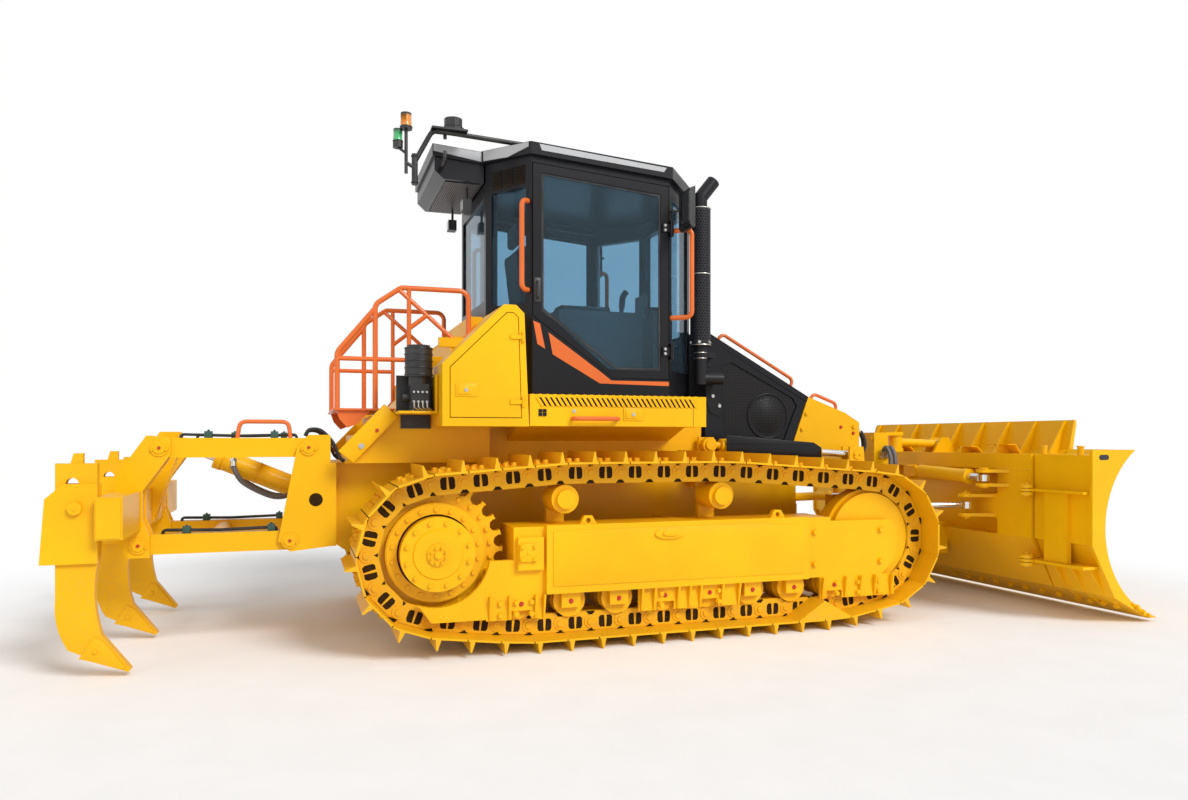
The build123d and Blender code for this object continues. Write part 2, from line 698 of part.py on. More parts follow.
def roof_under(x):
    """Height of the underside of the roof."""
    return roof_rear[1] + roof_fall * (x - roof_rear[0])


def inset(plan, depth):
    """The plan with every wall moved inwards."""
    moved = []
    for i, (xb, yb) in enumerate(plan):
        xa, ya = plan[i - 1]
        xc, yc = plan[(i + 1) % len(plan)]
        first, second = atan2(yb - ya, xb - xa), atan2(yc - yb, xc - xb)
        half_turn = ((second - first + pi) % (2 * pi) - pi) / 2
        reach = depth / cos(half_turn)
        heading = first + half_turn + pi / 2
        moved.append((xb + reach * cos(heading), yb + reach * sin(heading)))
    return moved


def wall_strip(a, b, margin, near, far):
    """Plan of a strip along the wall a to b, between two depths behind its outer face."""
    run = hypot(b[0] - a[0], b[1] - a[1])
    ux, uy = (b[0] - a[0]) / run, (b[1] - a[1]) / run
    return [(a[0] + ux * along - uy * depth, a[1] + uy * along + ux * depth)
            for along, depth in ((margin, near), (run - margin, near),
                                 (run - margin, far), (margin, far))]


def door_outline(gap):
    """Side profile of a cab door, drawn in by a gap on every side."""
    return ((door_front_x - gap, 1710 + gap), (door_front_x - gap, roof_under(163) - 45 - gap),
            (door_rear_x + gap, roof_under(-811) - 45 - gap), (door_rear_x + gap, 2110 + gap * 0.6),
            (-241 - gap * 0.6, 1710 + gap))


window_post = 55.0
windows = (                  # wall start, wall end, sill, head
    (0, 1, 1950.0, 2960.0),
    (1, 2, 1780.0, 2960.0),
    (3, 4, 2200.0, 2960.0),
    (4, 5, 2250.0, 2960.0),
    (5, 6, 2200.0, 2960.0),
    (7, 0, 1780.0, 2960.0),
)
door_wall = 50.0
door_hinge_x, door_hinge_y = door_front_x + 12, cab_half + 18
door_barrel, door_pin = 13.0, 8.0
door_hinges = (1850.0, 2700.0)
with BuildPart() as cab_frame:
    level(cab_plan, (deck_z, 3300))
    level(inset(cab_plan, cab_wall), (deck_z + cab_wall, 3310), Mode.SUBTRACT)
    plate(((-1400, roof_under(-1400)), (900, roof_under(900)), (900, 3400), (-1400, 3400)),
          (-1000, 1000), Mode.SUBTRACT)
    for i, j, sill, head in windows:
        level(wall_strip(cab_plan[i], cab_plan[j], window_post, -5, cab_wall + 40), (sill, head),
              Mode.SUBTRACT)
    for name, side in sides:
        plate(door_outline(0), mirrored(side, cab_half - cab_wall - 5, cab_half + 5), Mode.SUBTRACT)
        at = (door_hinge_x, side * door_hinge_y)
        for low in door_hinges:
            rod((*at, low), (*at, low + 110), door_pin)
            for end in (low, low + 85):
                rod((*at, end), (*at, end + 25), door_barrel)
                block((door_hinge_x - 5, door_hinge_x + 15), mirrored(side, cab_half - 35, door_hinge_y),
                      (end, end + 25))
write(cab_frame, "cab_frame")

with BuildPart() as cab_glass:
    for i, j, sill, head in windows:
        level(wall_strip(cab_plan[i], cab_plan[j], window_post, 12, 12 + glass), (sill, head))
write(cab_glass, "cab_glass")

door_post = 62.0
for name, side in sides:
    with BuildPart() as door:
        plate(door_outline(running_gap), mirrored(side, cab_half - door_wall, cab_half))
        plate(door_outline(door_post), mirrored(side, cab_half - door_wall, cab_half),
              Mode.SUBTRACT)
        at = (door_hinge_x, side * door_hinge_y)
        for low in door_hinges:
            block((door_front_x - 55, door_front_x - running_gap),
                  mirrored(side, cab_half - 1, cab_half + 14), (low + 27, low + 83))
            block((door_front_x - 55, door_hinge_x), mirrored(side, cab_half + 6, cab_half + 14),
                  (low + 27, low + 83))
            rod((*at, low + 27), (*at, low + 83), door_barrel)
            rod((*at, low + 26), (*at, low + 84), door_pin + pin_clearance, Mode.SUBTRACT)
    write(door, "door_" + name)

    with BuildPart() as door_pane:
        plate(door_outline(door_post), mirrored(side, cab_half - 12 - glass, cab_half - 12))
    write(door_pane, "door_glass_" + name)

roof_lip = 30.0
with BuildPart() as cab_roof:
    level(inset(cab_plan, -roof_lip), (2900, 3400))
    block((-1410, cab_rear_x), (-cab_rear_half, cab_rear_half), (2900, 3400))
    plate(((-1410, roof_under(-1410)), (700, roof_under(700)),
           (700, roof_under(700) + roof_thickness), (-1410, roof_under(-1410) + roof_thickness)),
          (-1000, 1000), Mode.INTERSECT)
write(cab_roof, "cab_roof")

with BuildPart() as air_conditioner:
    rear, front = -1395.0, cab_rear_x - 10
    plate(((rear, roof_under(rear)), (rear, 3110), (rear + 60, 3055), (front, 3055),
           (front, roof_under(front))), (-cab_rear_half + 15, cab_rear_half - 15))
write(air_conditioner, "air_conditioner")

roof_edge_x = cab_front_x + roof_lip
tube_y, tube_radius = -600.0, 16.0
with BuildPart() as lamps_and_mirrors:
    for name, side in sides:
        at = roof_under(roof_edge_x) + roof_thickness / 2
        for y in (180, 330):
            bar((roof_edge_x, side * y, at), (roof_edge_x + 12, side * y, at), 18)
            bar((roof_edge_x + 10, side * y, at), (roof_edge_x + 62, side * y, at), 36)
        bar((-1150, side * 300, 2960), (-1150, side * 300, 3055), 9)
        block((-1185, -1125), mirrored(side, 258, 342), (2885, 2962))
        foot = (door_front_x + 23.6, side * (cab_half - 28))
        rail([(*foot, 2880), (foot[0] + 76.5, foot[1] + side * 64.4, 2880),
              (foot[0] + 50, foot[1] + side * 130, 2880)], 20, 9)
        plate(((212, 2740), (230, 2722), (252, 2722), (252, 2997), (212, 2980)),
              mirrored(side, 850, 1030))
    top = [(x, roof_under(x) + roof_thickness) for x in (120, -800)]
    rail([(120, tube_y, top[0][1] - 10), (120, tube_y, 3245), (-1430, tube_y, 3318),
          (-1545, tube_y, 3100)], 60, tube_radius)
    bar((-800, tube_y, top[1][1] - 10), (-800, tube_y, 3285), 12)
    block((-1440, -1204), (tube_y - 45, tube_y + 75), (3322, 3334))
    bar((-1290, tube_y + 30, 3332), (-1290, tube_y + 30, 3352), 74)
    bar((-1290, tube_y + 30, 3350), (-1290, tube_y + 30, 3415), 60)
    bar((-1545, tube_y, 3150), (-1545, tube_y, 2950), 20)
    bar((-1545, tube_y, 3060), (-1600, tube_y, 3090), 12)
    bar((-1600, tube_y, 3020), (-1600, tube_y, 3306), 11)
    bar((-1600, tube_y, 3304), (-1600, tube_y, 3320), 40)
    bar((-1600, tube_y, 3318), (-1600, tube_y, 3408), 35)
    bar((-1600, tube_y, 3150), (-1650, tube_y + 20, 3190), 9)
    bar((-1650, tube_y + 20, 3185), (-1650, tube_y + 20, 3228), 32)
    bar((-1650, tube_y + 20, 3226), (-1650, tube_y + 20, 3306), 29)
    rail([(-1346, tube_y + 20, 3324), (-1346, tube_y + 20, 3130), (-1346, -cab_rear_half + 15, 3130)],
         30, 12)
    plate(((-1410, roof_under(-1410)), (roof_edge_x, roof_under(roof_edge_x)),
           (roof_edge_x, roof_under(roof_edge_x) + roof_thickness),
           (-1410, roof_under(-1410) + roof_thickness)), (-1000, 1000), Mode.SUBTRACT)
write(lamps_and_mirrors, "lamps_and_mirrors")

seat_floor = deck_z + cab_wall
with BuildPart() as seat:
    block((-620, -180), (-170, 170), (seat_floor, seat_floor + 380))
    block((-680, -140), (-260, 260), (seat_floor + 380, seat_floor + 500))
    plate(((-700, seat_floor + 400), (-560, seat_floor + 500), (-660, seat_floor + 1080),
           (-780, seat_floor + 1080)), (-250, 250))
    plate(((-700, seat_floor + 1100), (-690, seat_floor + 1260), (-780, seat_floor + 1260),
           (-780, seat_floor + 1060), (-690, seat_floor + 1060)), (-140, 140))
write(seat, "seat")

with BuildPart() as consoles:
    for name, side in sides:
        block((-560, 60), mirrored(side, 330, 560), (seat_floor, seat_floor + 560))
    block((250, 400), (-300, 300), (seat_floor, seat_floor + 620))
write(consoles, "consoles")

stack_x, stack_y = 515.0, -560.0
with BuildPart() as exhaust_stack:
    rod((stack_x, stack_y, 1700), (stack_x, stack_y, 1985), 45)
    rod((stack_x, stack_y, 1980), (stack_x, stack_y, 2985), 72)
    rod((stack_x, stack_y, 2980), (stack_x, stack_y, 3080), 50)
    rod((stack_x, stack_y, 3060), (stack_x + 105, stack_y, 3190), 50)
    rod((stack_x, stack_y, 1745), (stack_x + 175, stack_y, 1745), 42)
    rod((stack_x + 130, stack_y, 1745), (stack_x + 130, -hood_half, 1745), 39)
    block((stack_x + 5, stack_x + 130), (stack_y + 15, -hood_half), (1900, 1935))
    block((stack_x + 90, stack_x + 130), (-hood_half - 12, -hood_half), (1840, 1960))
write(exhaust_stack, "exhaust_stack")

# ---------------------------------------------------------------- C-frame and its cylinders
ear_outer = lift_y + eye_radius / 2 + eye_gap
nose_radius = 100.0
with BuildPart() as c_frame:
    for name, side in sides:
        arm = mirrored(side, arm_inner, ear_outer)
        plate(((pivot_x, pivot_z - arm_half_depth), (cross_front, pivot_z - arm_half_depth),
               (cross_front, pivot_z + arm_half_depth), (pivot_x, pivot_z + arm_half_depth)), arm)
        cross_pin(pivot_x, pivot_z, arm, arm_half_depth)
        cross_pin(pivot_x, pivot_z, arm, pivot_pin + pin_clearance, Mode.SUBTRACT)
    block((cross_rear, cross_front), (-arm_outer, arm_outer),
          (pivot_z - arm_half_depth, pivot_z + arm_half_depth))
    for low in (ball_z - 150, ball_z + 110):
        block((cross_front, ball_x), (-nose_radius, nose_radius), (low, low + 40))
        rod((ball_x, 0, low), (ball_x, 0, low + 40), nose_radius)
    block((cross_front, ball_x - 120), (-nose_radius, nose_radius), (ball_z - 150, ball_z + 150))
    tower_rear, tower_front = 2370.0, 2510.0
    block((tower_rear, tower_front), (-90, 90), (pivot_z, tower_top + 80))
    for low in (tower_top - 85, tower_top + 55):
        block((tower_front, ball_x), (-65, 65), (low, low + 30))
        rod((ball_x, 0, low), (ball_x, 0, low + 30), 65)
write(c_frame, "c_frame")

arm_top = pivot_z + arm_half_depth
with BuildPart() as c_frame_brackets:
    for name, side in sides:
        outer = mirrored(side, ear_outer, ear_outer + ear_thickness)
        inner = mirrored(side, ear_inner, ear_inner + ear_thickness)
        both = mirrored(side, ear_inner, ear_outer + ear_thickness)
        plate(((lift_eye_x - 130, pivot_z - 70), (lift_eye_x + 130, pivot_z - 70),
               (lift_eye_x + 60, lift_eye_z + 60), (lift_eye_x - 60, lift_eye_z + 60)), outer)
        plate(((lift_eye_x - 60, lift_eye_z - 145), (lift_eye_x + 60, lift_eye_z - 145),
               (lift_eye_x + 60, lift_eye_z + 60), (lift_eye_x - 60, lift_eye_z + 60)), inner)
        block((lift_eye_x - 60, lift_eye_x + 60), both, (lift_eye_z - 145, lift_eye_z - 105))
        bx, by, bz = angle_base
        ear = mirrored(side, by - 50, by + 50)
        block((bx - 150, bx - 90), ear, (arm_top, bz + 95))
        for low in (bz - 95, bz + 75):
            block((bx - 150, bx), ear, (low, low + 20))
            rod((bx, side * by, low), (bx, side * by, low + 20), 50)
write(c_frame_brackets, "c_frame_brackets")


def boss(centre, axis, half, radius, mode=Mode.ADD):
    """A round boss or bore centred on a point, half its length each way along an axis."""
    middle, reach = Vector(*centre), Vector(*axis).normalized() * half
    rod(middle - reach, middle + reach, radius, mode)


def cylinder(base, eye, radii, ends, base_eye, rod_eye):
    """A hydraulic cylinder as two pieces, its barrel and its rod.

    radii: barrel, rod.  ends: barrel tail, bore end, barrel head and rod end, from the base pin.
    base_eye: axis, half width, eye radius, pin radius or None.  rod_eye: axis, half width, radius.
    """
    start, unit = Vector(*base), (Vector(*eye) - Vector(*base)).normalized()
    tail, bottom, head, inner = [start + unit * reach for reach in ends]
    with BuildPart() as barrel:
        rod(tail, head, radii[0])
        rod(head - unit * 45, head, radii[0] + 6)
        if base_eye:
            rod(start, tail, base_eye[1])
            boss(base, base_eye[0], base_eye[1], base_eye[2])
            boss(base, base_eye[0], base_eye[1] + 5, base_eye[3] + pin_clearance, Mode.SUBTRACT)
        rod(bottom, head, radii[1] + rod_clearance, Mode.SUBTRACT)
    with BuildPart() as piston:
        rod(inner, Vector(*eye), radii[1])
        boss(eye, rod_eye[0], rod_eye[1], rod_eye[2])
    return barrel, piston


across, along, upright = (0, 1, 0), (1, 0, 0), (0, 0, 1)
eye_half = eye_radius / 2
pair = [cylinder((lift_base_x, side * lift_y, lift_base_z), (lift_eye_x, side * lift_y, lift_eye_z),
                 (lift_barrel, lift_rod), (92, 105, 930, 352), (across, eye_half, 55, lift_pin),
                 (across, eye_half, eye_radius)) for name, side in sides]
with BuildPart() as lift_barrels:
    for barrel, piston in pair:
        add(barrel.part)
write(lift_barrels, "lift_barrels")
with BuildPart() as lift_rods:
    for barrel, piston in pair:
        add(piston.part)
write(lift_rods, "lift_rods")

ring_inner, ring_outer, ring_half = 42.0, 54.0, 22.0
for name, side in sides:
    bx, by, bz = angle_base
    base, eye = Vector(bx, side * by, bz), Vector(angle_eye[0], side * angle_eye[1], angle_eye[2])
    unit = (eye - base).normalized()
    sideways = (-unit.Y, unit.X, 0)
    with BuildPart() as yoke:
        with BuildSketch(Plane(origin=base - unit * ring_half, z_dir=unit, x_dir=sideways)) as ring:
            Rectangle(2 * ring_outer, 2 * ring_outer)
            Rectangle(2 * ring_inner, 2 * ring_inner, mode=Mode.SUBTRACT)
        extrude(ring.sketch, amount=2 * ring_half)
        for low, high in ((-75 + rod_clearance, -ring_outer), (ring_outer, 75 - rod_clearance)):
            rod(base + Vector(0, 0, low), base + Vector(0, 0, high), 20)
        boss(base, sideways, ring_outer + 1, 15 + pin_clearance, Mode.SUBTRACT)
    write(yoke, "angle_" + name + "_yoke")
    barrel, piston = cylinder(base, eye, (angle_barrel, angle_rod), (-60, -45, 640, 270), None,
                              (upright, 26, 50))
    write(piston, "angle_" + name + "_rod")
    with BuildPart() as trunnion:
        add(barrel.part)
        for way in (-1, 1):
            pin = Vector(*sideways) * way
            rod(base + pin * (angle_rod + 6), base + pin * ring_outer, 15)
    write(trunnion, "angle_" + name + "_barrel")

barrel, piston = cylinder(tilt_base, tilt_eye, (tilt_barrel, tilt_rod), (60, 75, 615, 150),
                          (along, 22, 40, 18), (upright, 25, 50))
write(barrel, "tilt_barrel")
write(piston, "tilt_rod")

# ---------------------------------------------------------------- swivel, pitch link and blade
neck_radius = 55.0
with BuildPart() as swivel:
    boss((ball_x, 0, ball_z), upright, ball_radius, ball_radius)
    boss((ball_x, 0, ball_z), upright, 110 - rod_clearance, 40)
    rod((ball_x, 0, ball_z), (blade_back + 40, 0, ball_z), neck_radius)
    block((tilt_base[0] - 50, tilt_base[0] + 50), (-30, 30), (ball_z, tilt_base[2] + 50))
    for near in (-50, 30):
        block((tilt_base[0] + near, tilt_base[0] + near + 20), (tilt_base[1] - 45, 30),
              (tilt_base[2] - 45, tilt_base[2] + 45))
    boss(tilt_base, along, 50, 18)
write(swivel, "swivel")

with BuildPart() as pitch_link:
    near, far = (ball_x, 0, tower_top), (link_end_x, 0, link_end_z)
    rod(near, far, 34)
    boss(near, upright, 55 - rod_clearance, 55)
    boss(far, across, 30, 45)
write(pitch_link, "pitch_link")


def circle_through(a, b, c):
    """Centre x, centre z and radius of the circle through three points."""
    d = 2 * (a[0] * (b[1] - c[1]) + b[0] * (c[1] - a[1]) + c[0] * (a[1] - b[1]))
    aa, bb, cc = (p[0]**2 + p[1]**2 for p in (a, b, c))
    x = (aa * (b[1] - c[1]) + bb * (c[1] - a[1]) + cc * (a[1] - b[1])) / d
    z = (aa * (c[0] - b[0]) + bb * (a[0] - c[0]) + cc * (b[0] - a[0])) / d
    return x, z, hypot(a[0] - x, a[1] - z)


curl_x, curl_z, curl_radius = circle_through(blade_top, blade_middle, blade_tip)


def curl(z, behind=0.0):
    """A point of the moldboard's face at a height, or that far behind the face."""
    return curl_x - sqrt((curl_radius + behind)**2 - (z - curl_z)**2), z


def curled(low, high, y, front, back):
    """A slab of the blade between two heights, from its curl to a back outline."""
    with BuildSketch(Plane.XZ.offset(-y[0])) as profile:
        with BuildLine():
            ThreePointArc(curl(high, front), curl((low + high) / 2, front), curl(low, front))
            Polyline(curl(low, front), *back, curl(high, front))
        make_face()
    extrude(profile.sketch, amount=y[0] - y[1])


def moldboard_sheet(y):
    """The curved front sheet."""
    with BuildSketch(Plane.XZ.offset(-y[0])) as profile:
        with BuildLine():
            low, high = blade_tip[1], blade_top[1]
            ThreePointArc(curl(high), curl((low + high) / 2), curl(low))
            Line(curl(low), curl(low, moldboard))
            ThreePointArc(curl(low, moldboard), curl((low + high) / 2, moldboard),
                          curl(high, moldboard))
            Line(curl(high, moldboard), curl(high))
        make_face()
    extrude(profile.sketch, amount=y[0] - y[1])


beam_low, beam_high, box_top = 560.0, 960.0, 1190.0
lower_back = ((blade_back + 205, 190), (blade_back, beam_low))
centre_half = wing_joint_y - running_gap
end_box = 860.0
with BuildPart() as blade:
    moldboard_sheet((-centre_half, centre_half))
    curled(90, beam_low, (-centre_half, centre_half), moldboard, lower_back)
    curled(beam_high + 110, box_top, (-centre_half, centre_half), moldboard,
           ((blade_back, beam_high + 110), (blade_back, box_top)))
    for name, side in sides:
        curled(beam_low, beam_high + 110, mirrored(side, end_box, centre_half), moldboard,
               ((blade_back, beam_low), (blade_back, beam_high + 110)))
        curled(bz - 95, bz + 95, mirrored(side, 620, end_box), moldboard,
               ((blade_back, bz - 95), (blade_back, bz + 95)))
        for z, reach in hinge_levels:
            for low in (z - 40, z + 15):
                rod((hinge_x, side * wing_joint_y, low), (hinge_x, side * wing_joint_y, low + 25),
                    hinge_knuckle)
                block((hinge_x, hinge_x + reach + 20), mirrored(side, wing_joint_y - 60, centre_half),
                      (low, low + 25))
            boss((hinge_x, side * wing_joint_y, z), upright, 50, 20)
    curled(beam_low, beam_low + 40, (-240, 240), moldboard,
           ((blade_back - 30, beam_low), (blade_back - 30, beam_low + 40)))
    block((blade_back - 30, blade_back + 60), (-240, 240), (ball_z - 120, ball_z + 150))
    boss((ball_x, 0, ball_z), along, blade_back + 60 - ball_x, neck_radius + pin_clearance,
         Mode.SUBTRACT)
    for name, side in sides:
        plate(((3000, box_top), (3080, link_end_z + 58), (3160, link_end_z + 58), (3230, box_top)),
              mirrored(side, 52, 77))
    plate(((3290, box_top), (3320, box_top), (3385, guard_top), (3365, guard_top)),
          (-centre_half, centre_half))
    for y in (-1120, -840, -560, -280, 0, 280, 560, 840, 1120):
        plate(((3180, box_top), (3305, box_top), (3372, guard_top - 6), (3340, guard_top - 6)),
              (y - 8, y + 8))
write(blade, "blade")

angle_ear, tilt_ear = 64.0, 42.0        # half the room between a pair of ears
with BuildPart() as blade_lugs:
    for name, side in sides:
        for low in (bz - angle_ear - 25, bz + angle_ear):
            plan = [(angle_eye[0], 640), (angle_eye[0], 760), (blade_back, 830), (blade_back, 630)]
            level([(x, side * y) for x, y in plan], (low, low + 25))
            rod((angle_eye[0], side * angle_eye[1], low),
                (angle_eye[0], side * angle_eye[1], low + 25), 60)
    for low in (tilt_eye[2] - tilt_ear - 25, tilt_eye[2] + tilt_ear):
        level(((tilt_eye[0], -790), (tilt_eye[0], -890), (blade_back, -980), (blade_back, -790)),
              (low, low + 25))
        rod((tilt_eye[0], tilt_eye[1], low), (tilt_eye[0], tilt_eye[1], low + 25), 58)
write(blade_lugs, "blade_lugs")

end_plate = 25.0
for name, side in sides:
    span = mirrored(side, wing_joint_y + running_gap + 1, blade_half)
    with BuildPart() as wing:
        moldboard_sheet(span)
        curled(90, beam_low, mirrored(side, wing_joint_y + running_gap + 1, blade_half - end_plate),
               moldboard, ((blade_back + 205, 190), (blade_back + 40, beam_low)))
        curled(beam_low, box_top, span, moldboard,
               ((blade_back + 20, beam_low), (blade_back + 20, box_top)))
        curled(60, blade_top[1], mirrored(side, blade_half - end_plate, blade_half), moldboard,
               (lower_back[0], (blade_back, beam_low), (blade_back, blade_top[1])))
        for z, reach in hinge_levels:
            plan = [(hinge_x, wing_joint_y), (hinge_x, wing_joint_y + 60),
                    (hinge_x + reach + 60, wing_joint_y + 90),
                    (hinge_x + reach + 60, wing_joint_y + 10)]
            level([(x, side * y) for x, y in plan], (z - 10, z + 10))
            rod((hinge_x, side * wing_joint_y, z - 10), (hinge_x, side * wing_joint_y, z + 10),
                hinge_knuckle)
            boss((hinge_x, side * wing_joint_y, z), upright, 30, 20 + pin_clearance, Mode.SUBTRACT)
    write(wing, "blade_wing_" + name)

# ---------------------------------------------------------------- ripper
beam_near = link_beam_y - link_beam_width / 2
beam_far = link_beam_y + link_beam_width / 2
ear_gap = running_gap
ear_near = (beam_near - ear_gap - ear_thickness, beam_near - ear_gap)
ear_far = (beam_far + ear_gap, beam_far + ear_gap + ear_thickness)
central_ear = (40.0, 65.0)
rear_upper = (ripper_upper[0] - ripper_reach, ripper_upper[1])
rear_lower = (ripper_lower[0] - ripper_reach, ripper_lower[1])
bar_front = rear_upper[0] - bar_setback
bar_rear = bar_front - bar_depth
shank_front = bar_rear - shank_play
shank_rear = shank_front - shank_width

with BuildPart() as ripper_mount:
    block((hull_rear - 35, hull_rear), (-ear_far[1], ear_far[1]), (620, hull_top))
    bracket = ((hull_rear - 35, 620), (hull_rear - 35, ripper_upper[1] + 80),
               (ripper_upper[0], ripper_upper[1] + 80), (ripper_upper[0] - 70, ripper_upper[1]),
               (ripper_lower[0] - 70, ripper_lower[1]), (ripper_lower[0], ripper_lower[1] - 70))
    for name, side in sides:
        for ears in (ear_near, ear_far):
            plate(bracket, mirrored(side, *ears))
        for x, z in (ripper_upper, ripper_lower):
            cross_pin(x, z, mirrored(side, ear_near[0], ear_far[1]), ripper_pin)
        plate(((hull_rear - 35, ripper_base[1] - 70), (hull_rear - 35, ripper_base[1] + 70),
               (ripper_base[0] - 20, ripper_base[1] + 55), (ripper_base[0] - 60, ripper_base[1]),
               (ripper_base[0] - 20, ripper_base[1] - 55)), mirrored(side, *central_ear))
    boss((ripper_base[0], 0, ripper_base[1]), across, central_ear[0], 26)
write(ripper_mount, "ripper_mount")


def ripper_links(label, front, rear, tube_x, tube_radius):
    """Two parallel beams with an eye at each end, joined by a cross tube."""
    half = link_beam_depth / 2
    with BuildPart() as links:
        for name, side in sides:
            beam = mirrored(side, beam_near, beam_far)
            plate(((front[0], front[1] - half), (front[0], front[1] + half),
                   (rear[0], rear[1] + half), (rear[0], rear[1] - half)), beam)
            for x, z in (front, rear):
                cross_pin(x, z, beam, half)
                cross_pin(x, z, beam, ripper_pin + pin_clearance, Mode.SUBTRACT)
        cross_pin(tube_x, front[1], (-beam_near, beam_near), tube_radius)
    write(links, label)


ripper_links("ripper_lower_arm", ripper_lower, rear_lower, ripper_lower[0] - 450, 55)
ripper_links("ripper_upper_link", ripper_upper, rear_upper, ripper_upper[0] - 223, 45)

bar_low, bar_high = 760.0, 990.0
shank_pin = 26.0
with BuildPart() as ripper_toolbar:
    block((bar_rear, bar_front), (-toolbar_half, toolbar_half), (bar_low, bar_high))
    side_plate = ((rear_upper[0] + 60, rear_upper[1] - 40), (rear_upper[0] + 60, rear_upper[1] + 60),
                  (rear_upper[0] - 70, rear_upper[1] + 75), (bar_rear, bar_high + 90),
                  (bar_rear, bar_low - 60), (rear_lower[0] - 60, rear_lower[1] - 75),
                  (rear_lower[0] + 60, rear_lower[1] - 75), (rear_lower[0] + 60, rear_lower[1] + 60),
                  (bar_front + 10, bar_low + 60), (bar_front + 10, bar_high))
    for name, side in sides:
        for ears in (ear_near, ear_far):
            plate(side_plate, mirrored(side, *ears))
        for x, z in (rear_upper, rear_lower):
            cross_pin(x, z, mirrored(side, ear_near[0], ear_far[1]), ripper_pin)
        plate(((ripper_eye[0] + 55, ripper_eye[1] - 60), (ripper_eye[0] + 55, ripper_eye[1] + 50),
               (ripper_eye[0] - 60, ripper_eye[1] + 50), (bar_rear, bar_high + 40),
               (bar_rear, bar_low), (bar_front, bar_low)),
              mirrored(side, central_ear[0] + 10, central_ear[1] + 10))
    pocket = ((bar_rear, bar_high + 70), (shank_rear + 40, bar_high + 70),
              (shank_rear - 45, bar_high - 10), (shank_rear - 70, bar_low - 130),
              (bar_rear, bar_low - 130))
    for y in shank_y:
        for face in (-1, 1):
            near = y + face * shank_thickness / 2
            plate(pocket, sorted((near, near + face * ear_thickness)))
        back = (y - shank_thickness / 2, y + shank_thickness / 2)
        plate(((shank_rear - 40, bar_high - 60), (shank_rear - shank_play, bar_high - 60),
               (shank_rear - shank_play, bar_low - 130), (shank_rear - 65, bar_low - 130)), back)
        cross_pin(shank_rear + 100, bar_high - 60, (y - shank_thickness / 2 - ear_thickness - 18,
                  y + shank_thickness / 2 + ear_thickness + 18), shank_pin)
write(ripper_toolbar, "ripper_toolbar")

with BuildPart() as ripper_shanks:
    for y in shank_y:
        faces = (y - shank_thickness / 2, y + shank_thickness / 2)
        with BuildSketch(Plane.XZ.offset(-faces[0])) as outline:
            with BuildLine():
                Polyline((shank_front, 620), (shank_front, 1170), (shank_rear, 1170),
                         (shank_rear, 430))
                ThreePointArc((shank_rear, 430), (shank_rear + 15, 270), (shank_rear + 60, 165))
                Polyline((shank_rear + 60, 165), (shank_rear + 170, 110),
                         (shank_front + 150, 25), (shank_front + 164, 40),
                         (shank_front + 20, 235))
                ThreePointArc((shank_front + 20, 235), (shank_front - 12, 420),
                              (shank_front, 620))
            make_face()
        extrude(outline.sketch, amount=faces[0] - faces[1])
        cross_pin(shank_rear + 80, 1060, faces, 32, Mode.SUBTRACT)
        cross_pin(shank_rear + 100, bar_high - 60, faces, shank_pin + 2, Mode.SUBTRACT)
        plate(((shank_rear + 70, 1169), (shank_rear + 130, 1169), (shank_rear + 130, 1225),
               (shank_rear + 85, 1225)), (y - 20, y + 20))
write(ripper_shanks, "ripper_shanks")

barrel, piston = cylinder((ripper_base[0], 0, ripper_base[1]), (ripper_eye[0], 0, ripper_eye[1]),
                          (ripper_barrel, ripper_rod), (100, 120, 700, 330),
                          (across, central_ear[0] - running_gap, 60, 26), (across, 40, 50))
write(barrel, "ripper_barrel")
write(piston, "ripper_rod")
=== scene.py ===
import bmesh
import bpy
from math import acos, atan2, cos, hypot, pi, radians, sin
from mathutils import Matrix, Vector


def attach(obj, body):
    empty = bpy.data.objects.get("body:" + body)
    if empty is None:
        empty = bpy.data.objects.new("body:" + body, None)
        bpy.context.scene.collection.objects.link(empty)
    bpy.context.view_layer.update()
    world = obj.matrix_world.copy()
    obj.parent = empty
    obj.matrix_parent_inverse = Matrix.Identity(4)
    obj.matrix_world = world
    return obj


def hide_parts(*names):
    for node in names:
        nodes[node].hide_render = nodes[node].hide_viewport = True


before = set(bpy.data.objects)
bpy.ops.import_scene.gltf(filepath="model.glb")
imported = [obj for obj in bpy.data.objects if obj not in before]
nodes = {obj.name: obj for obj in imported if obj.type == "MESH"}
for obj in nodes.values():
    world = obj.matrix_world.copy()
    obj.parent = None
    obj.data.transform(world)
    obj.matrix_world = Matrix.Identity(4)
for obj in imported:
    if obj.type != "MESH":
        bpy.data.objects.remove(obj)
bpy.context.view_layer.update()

# ---------------------------------------------------------------- the camera
# The dozer is seen from its right-hand side, a little behind the middle, at eye height.
# The lens looks level and is raised a little, so posts and the stack stay upright.
camera_data = bpy.data.cameras.new("camera")
camera_data.lens = 26.24
camera_data.sensor_width = 36.0
camera_data.shift_y = 0.0337
camera_data.clip_end = 200.0
camera = bpy.data.objects.new("camera", camera_data)
camera.location = (-2.25, -6.29, 1.296)
camera.rotation_euler = (radians(90.0), 0.0, radians(-18.76))
bpy.context.scene.collection.objects.link(camera)
bpy.context.scene.camera = camera


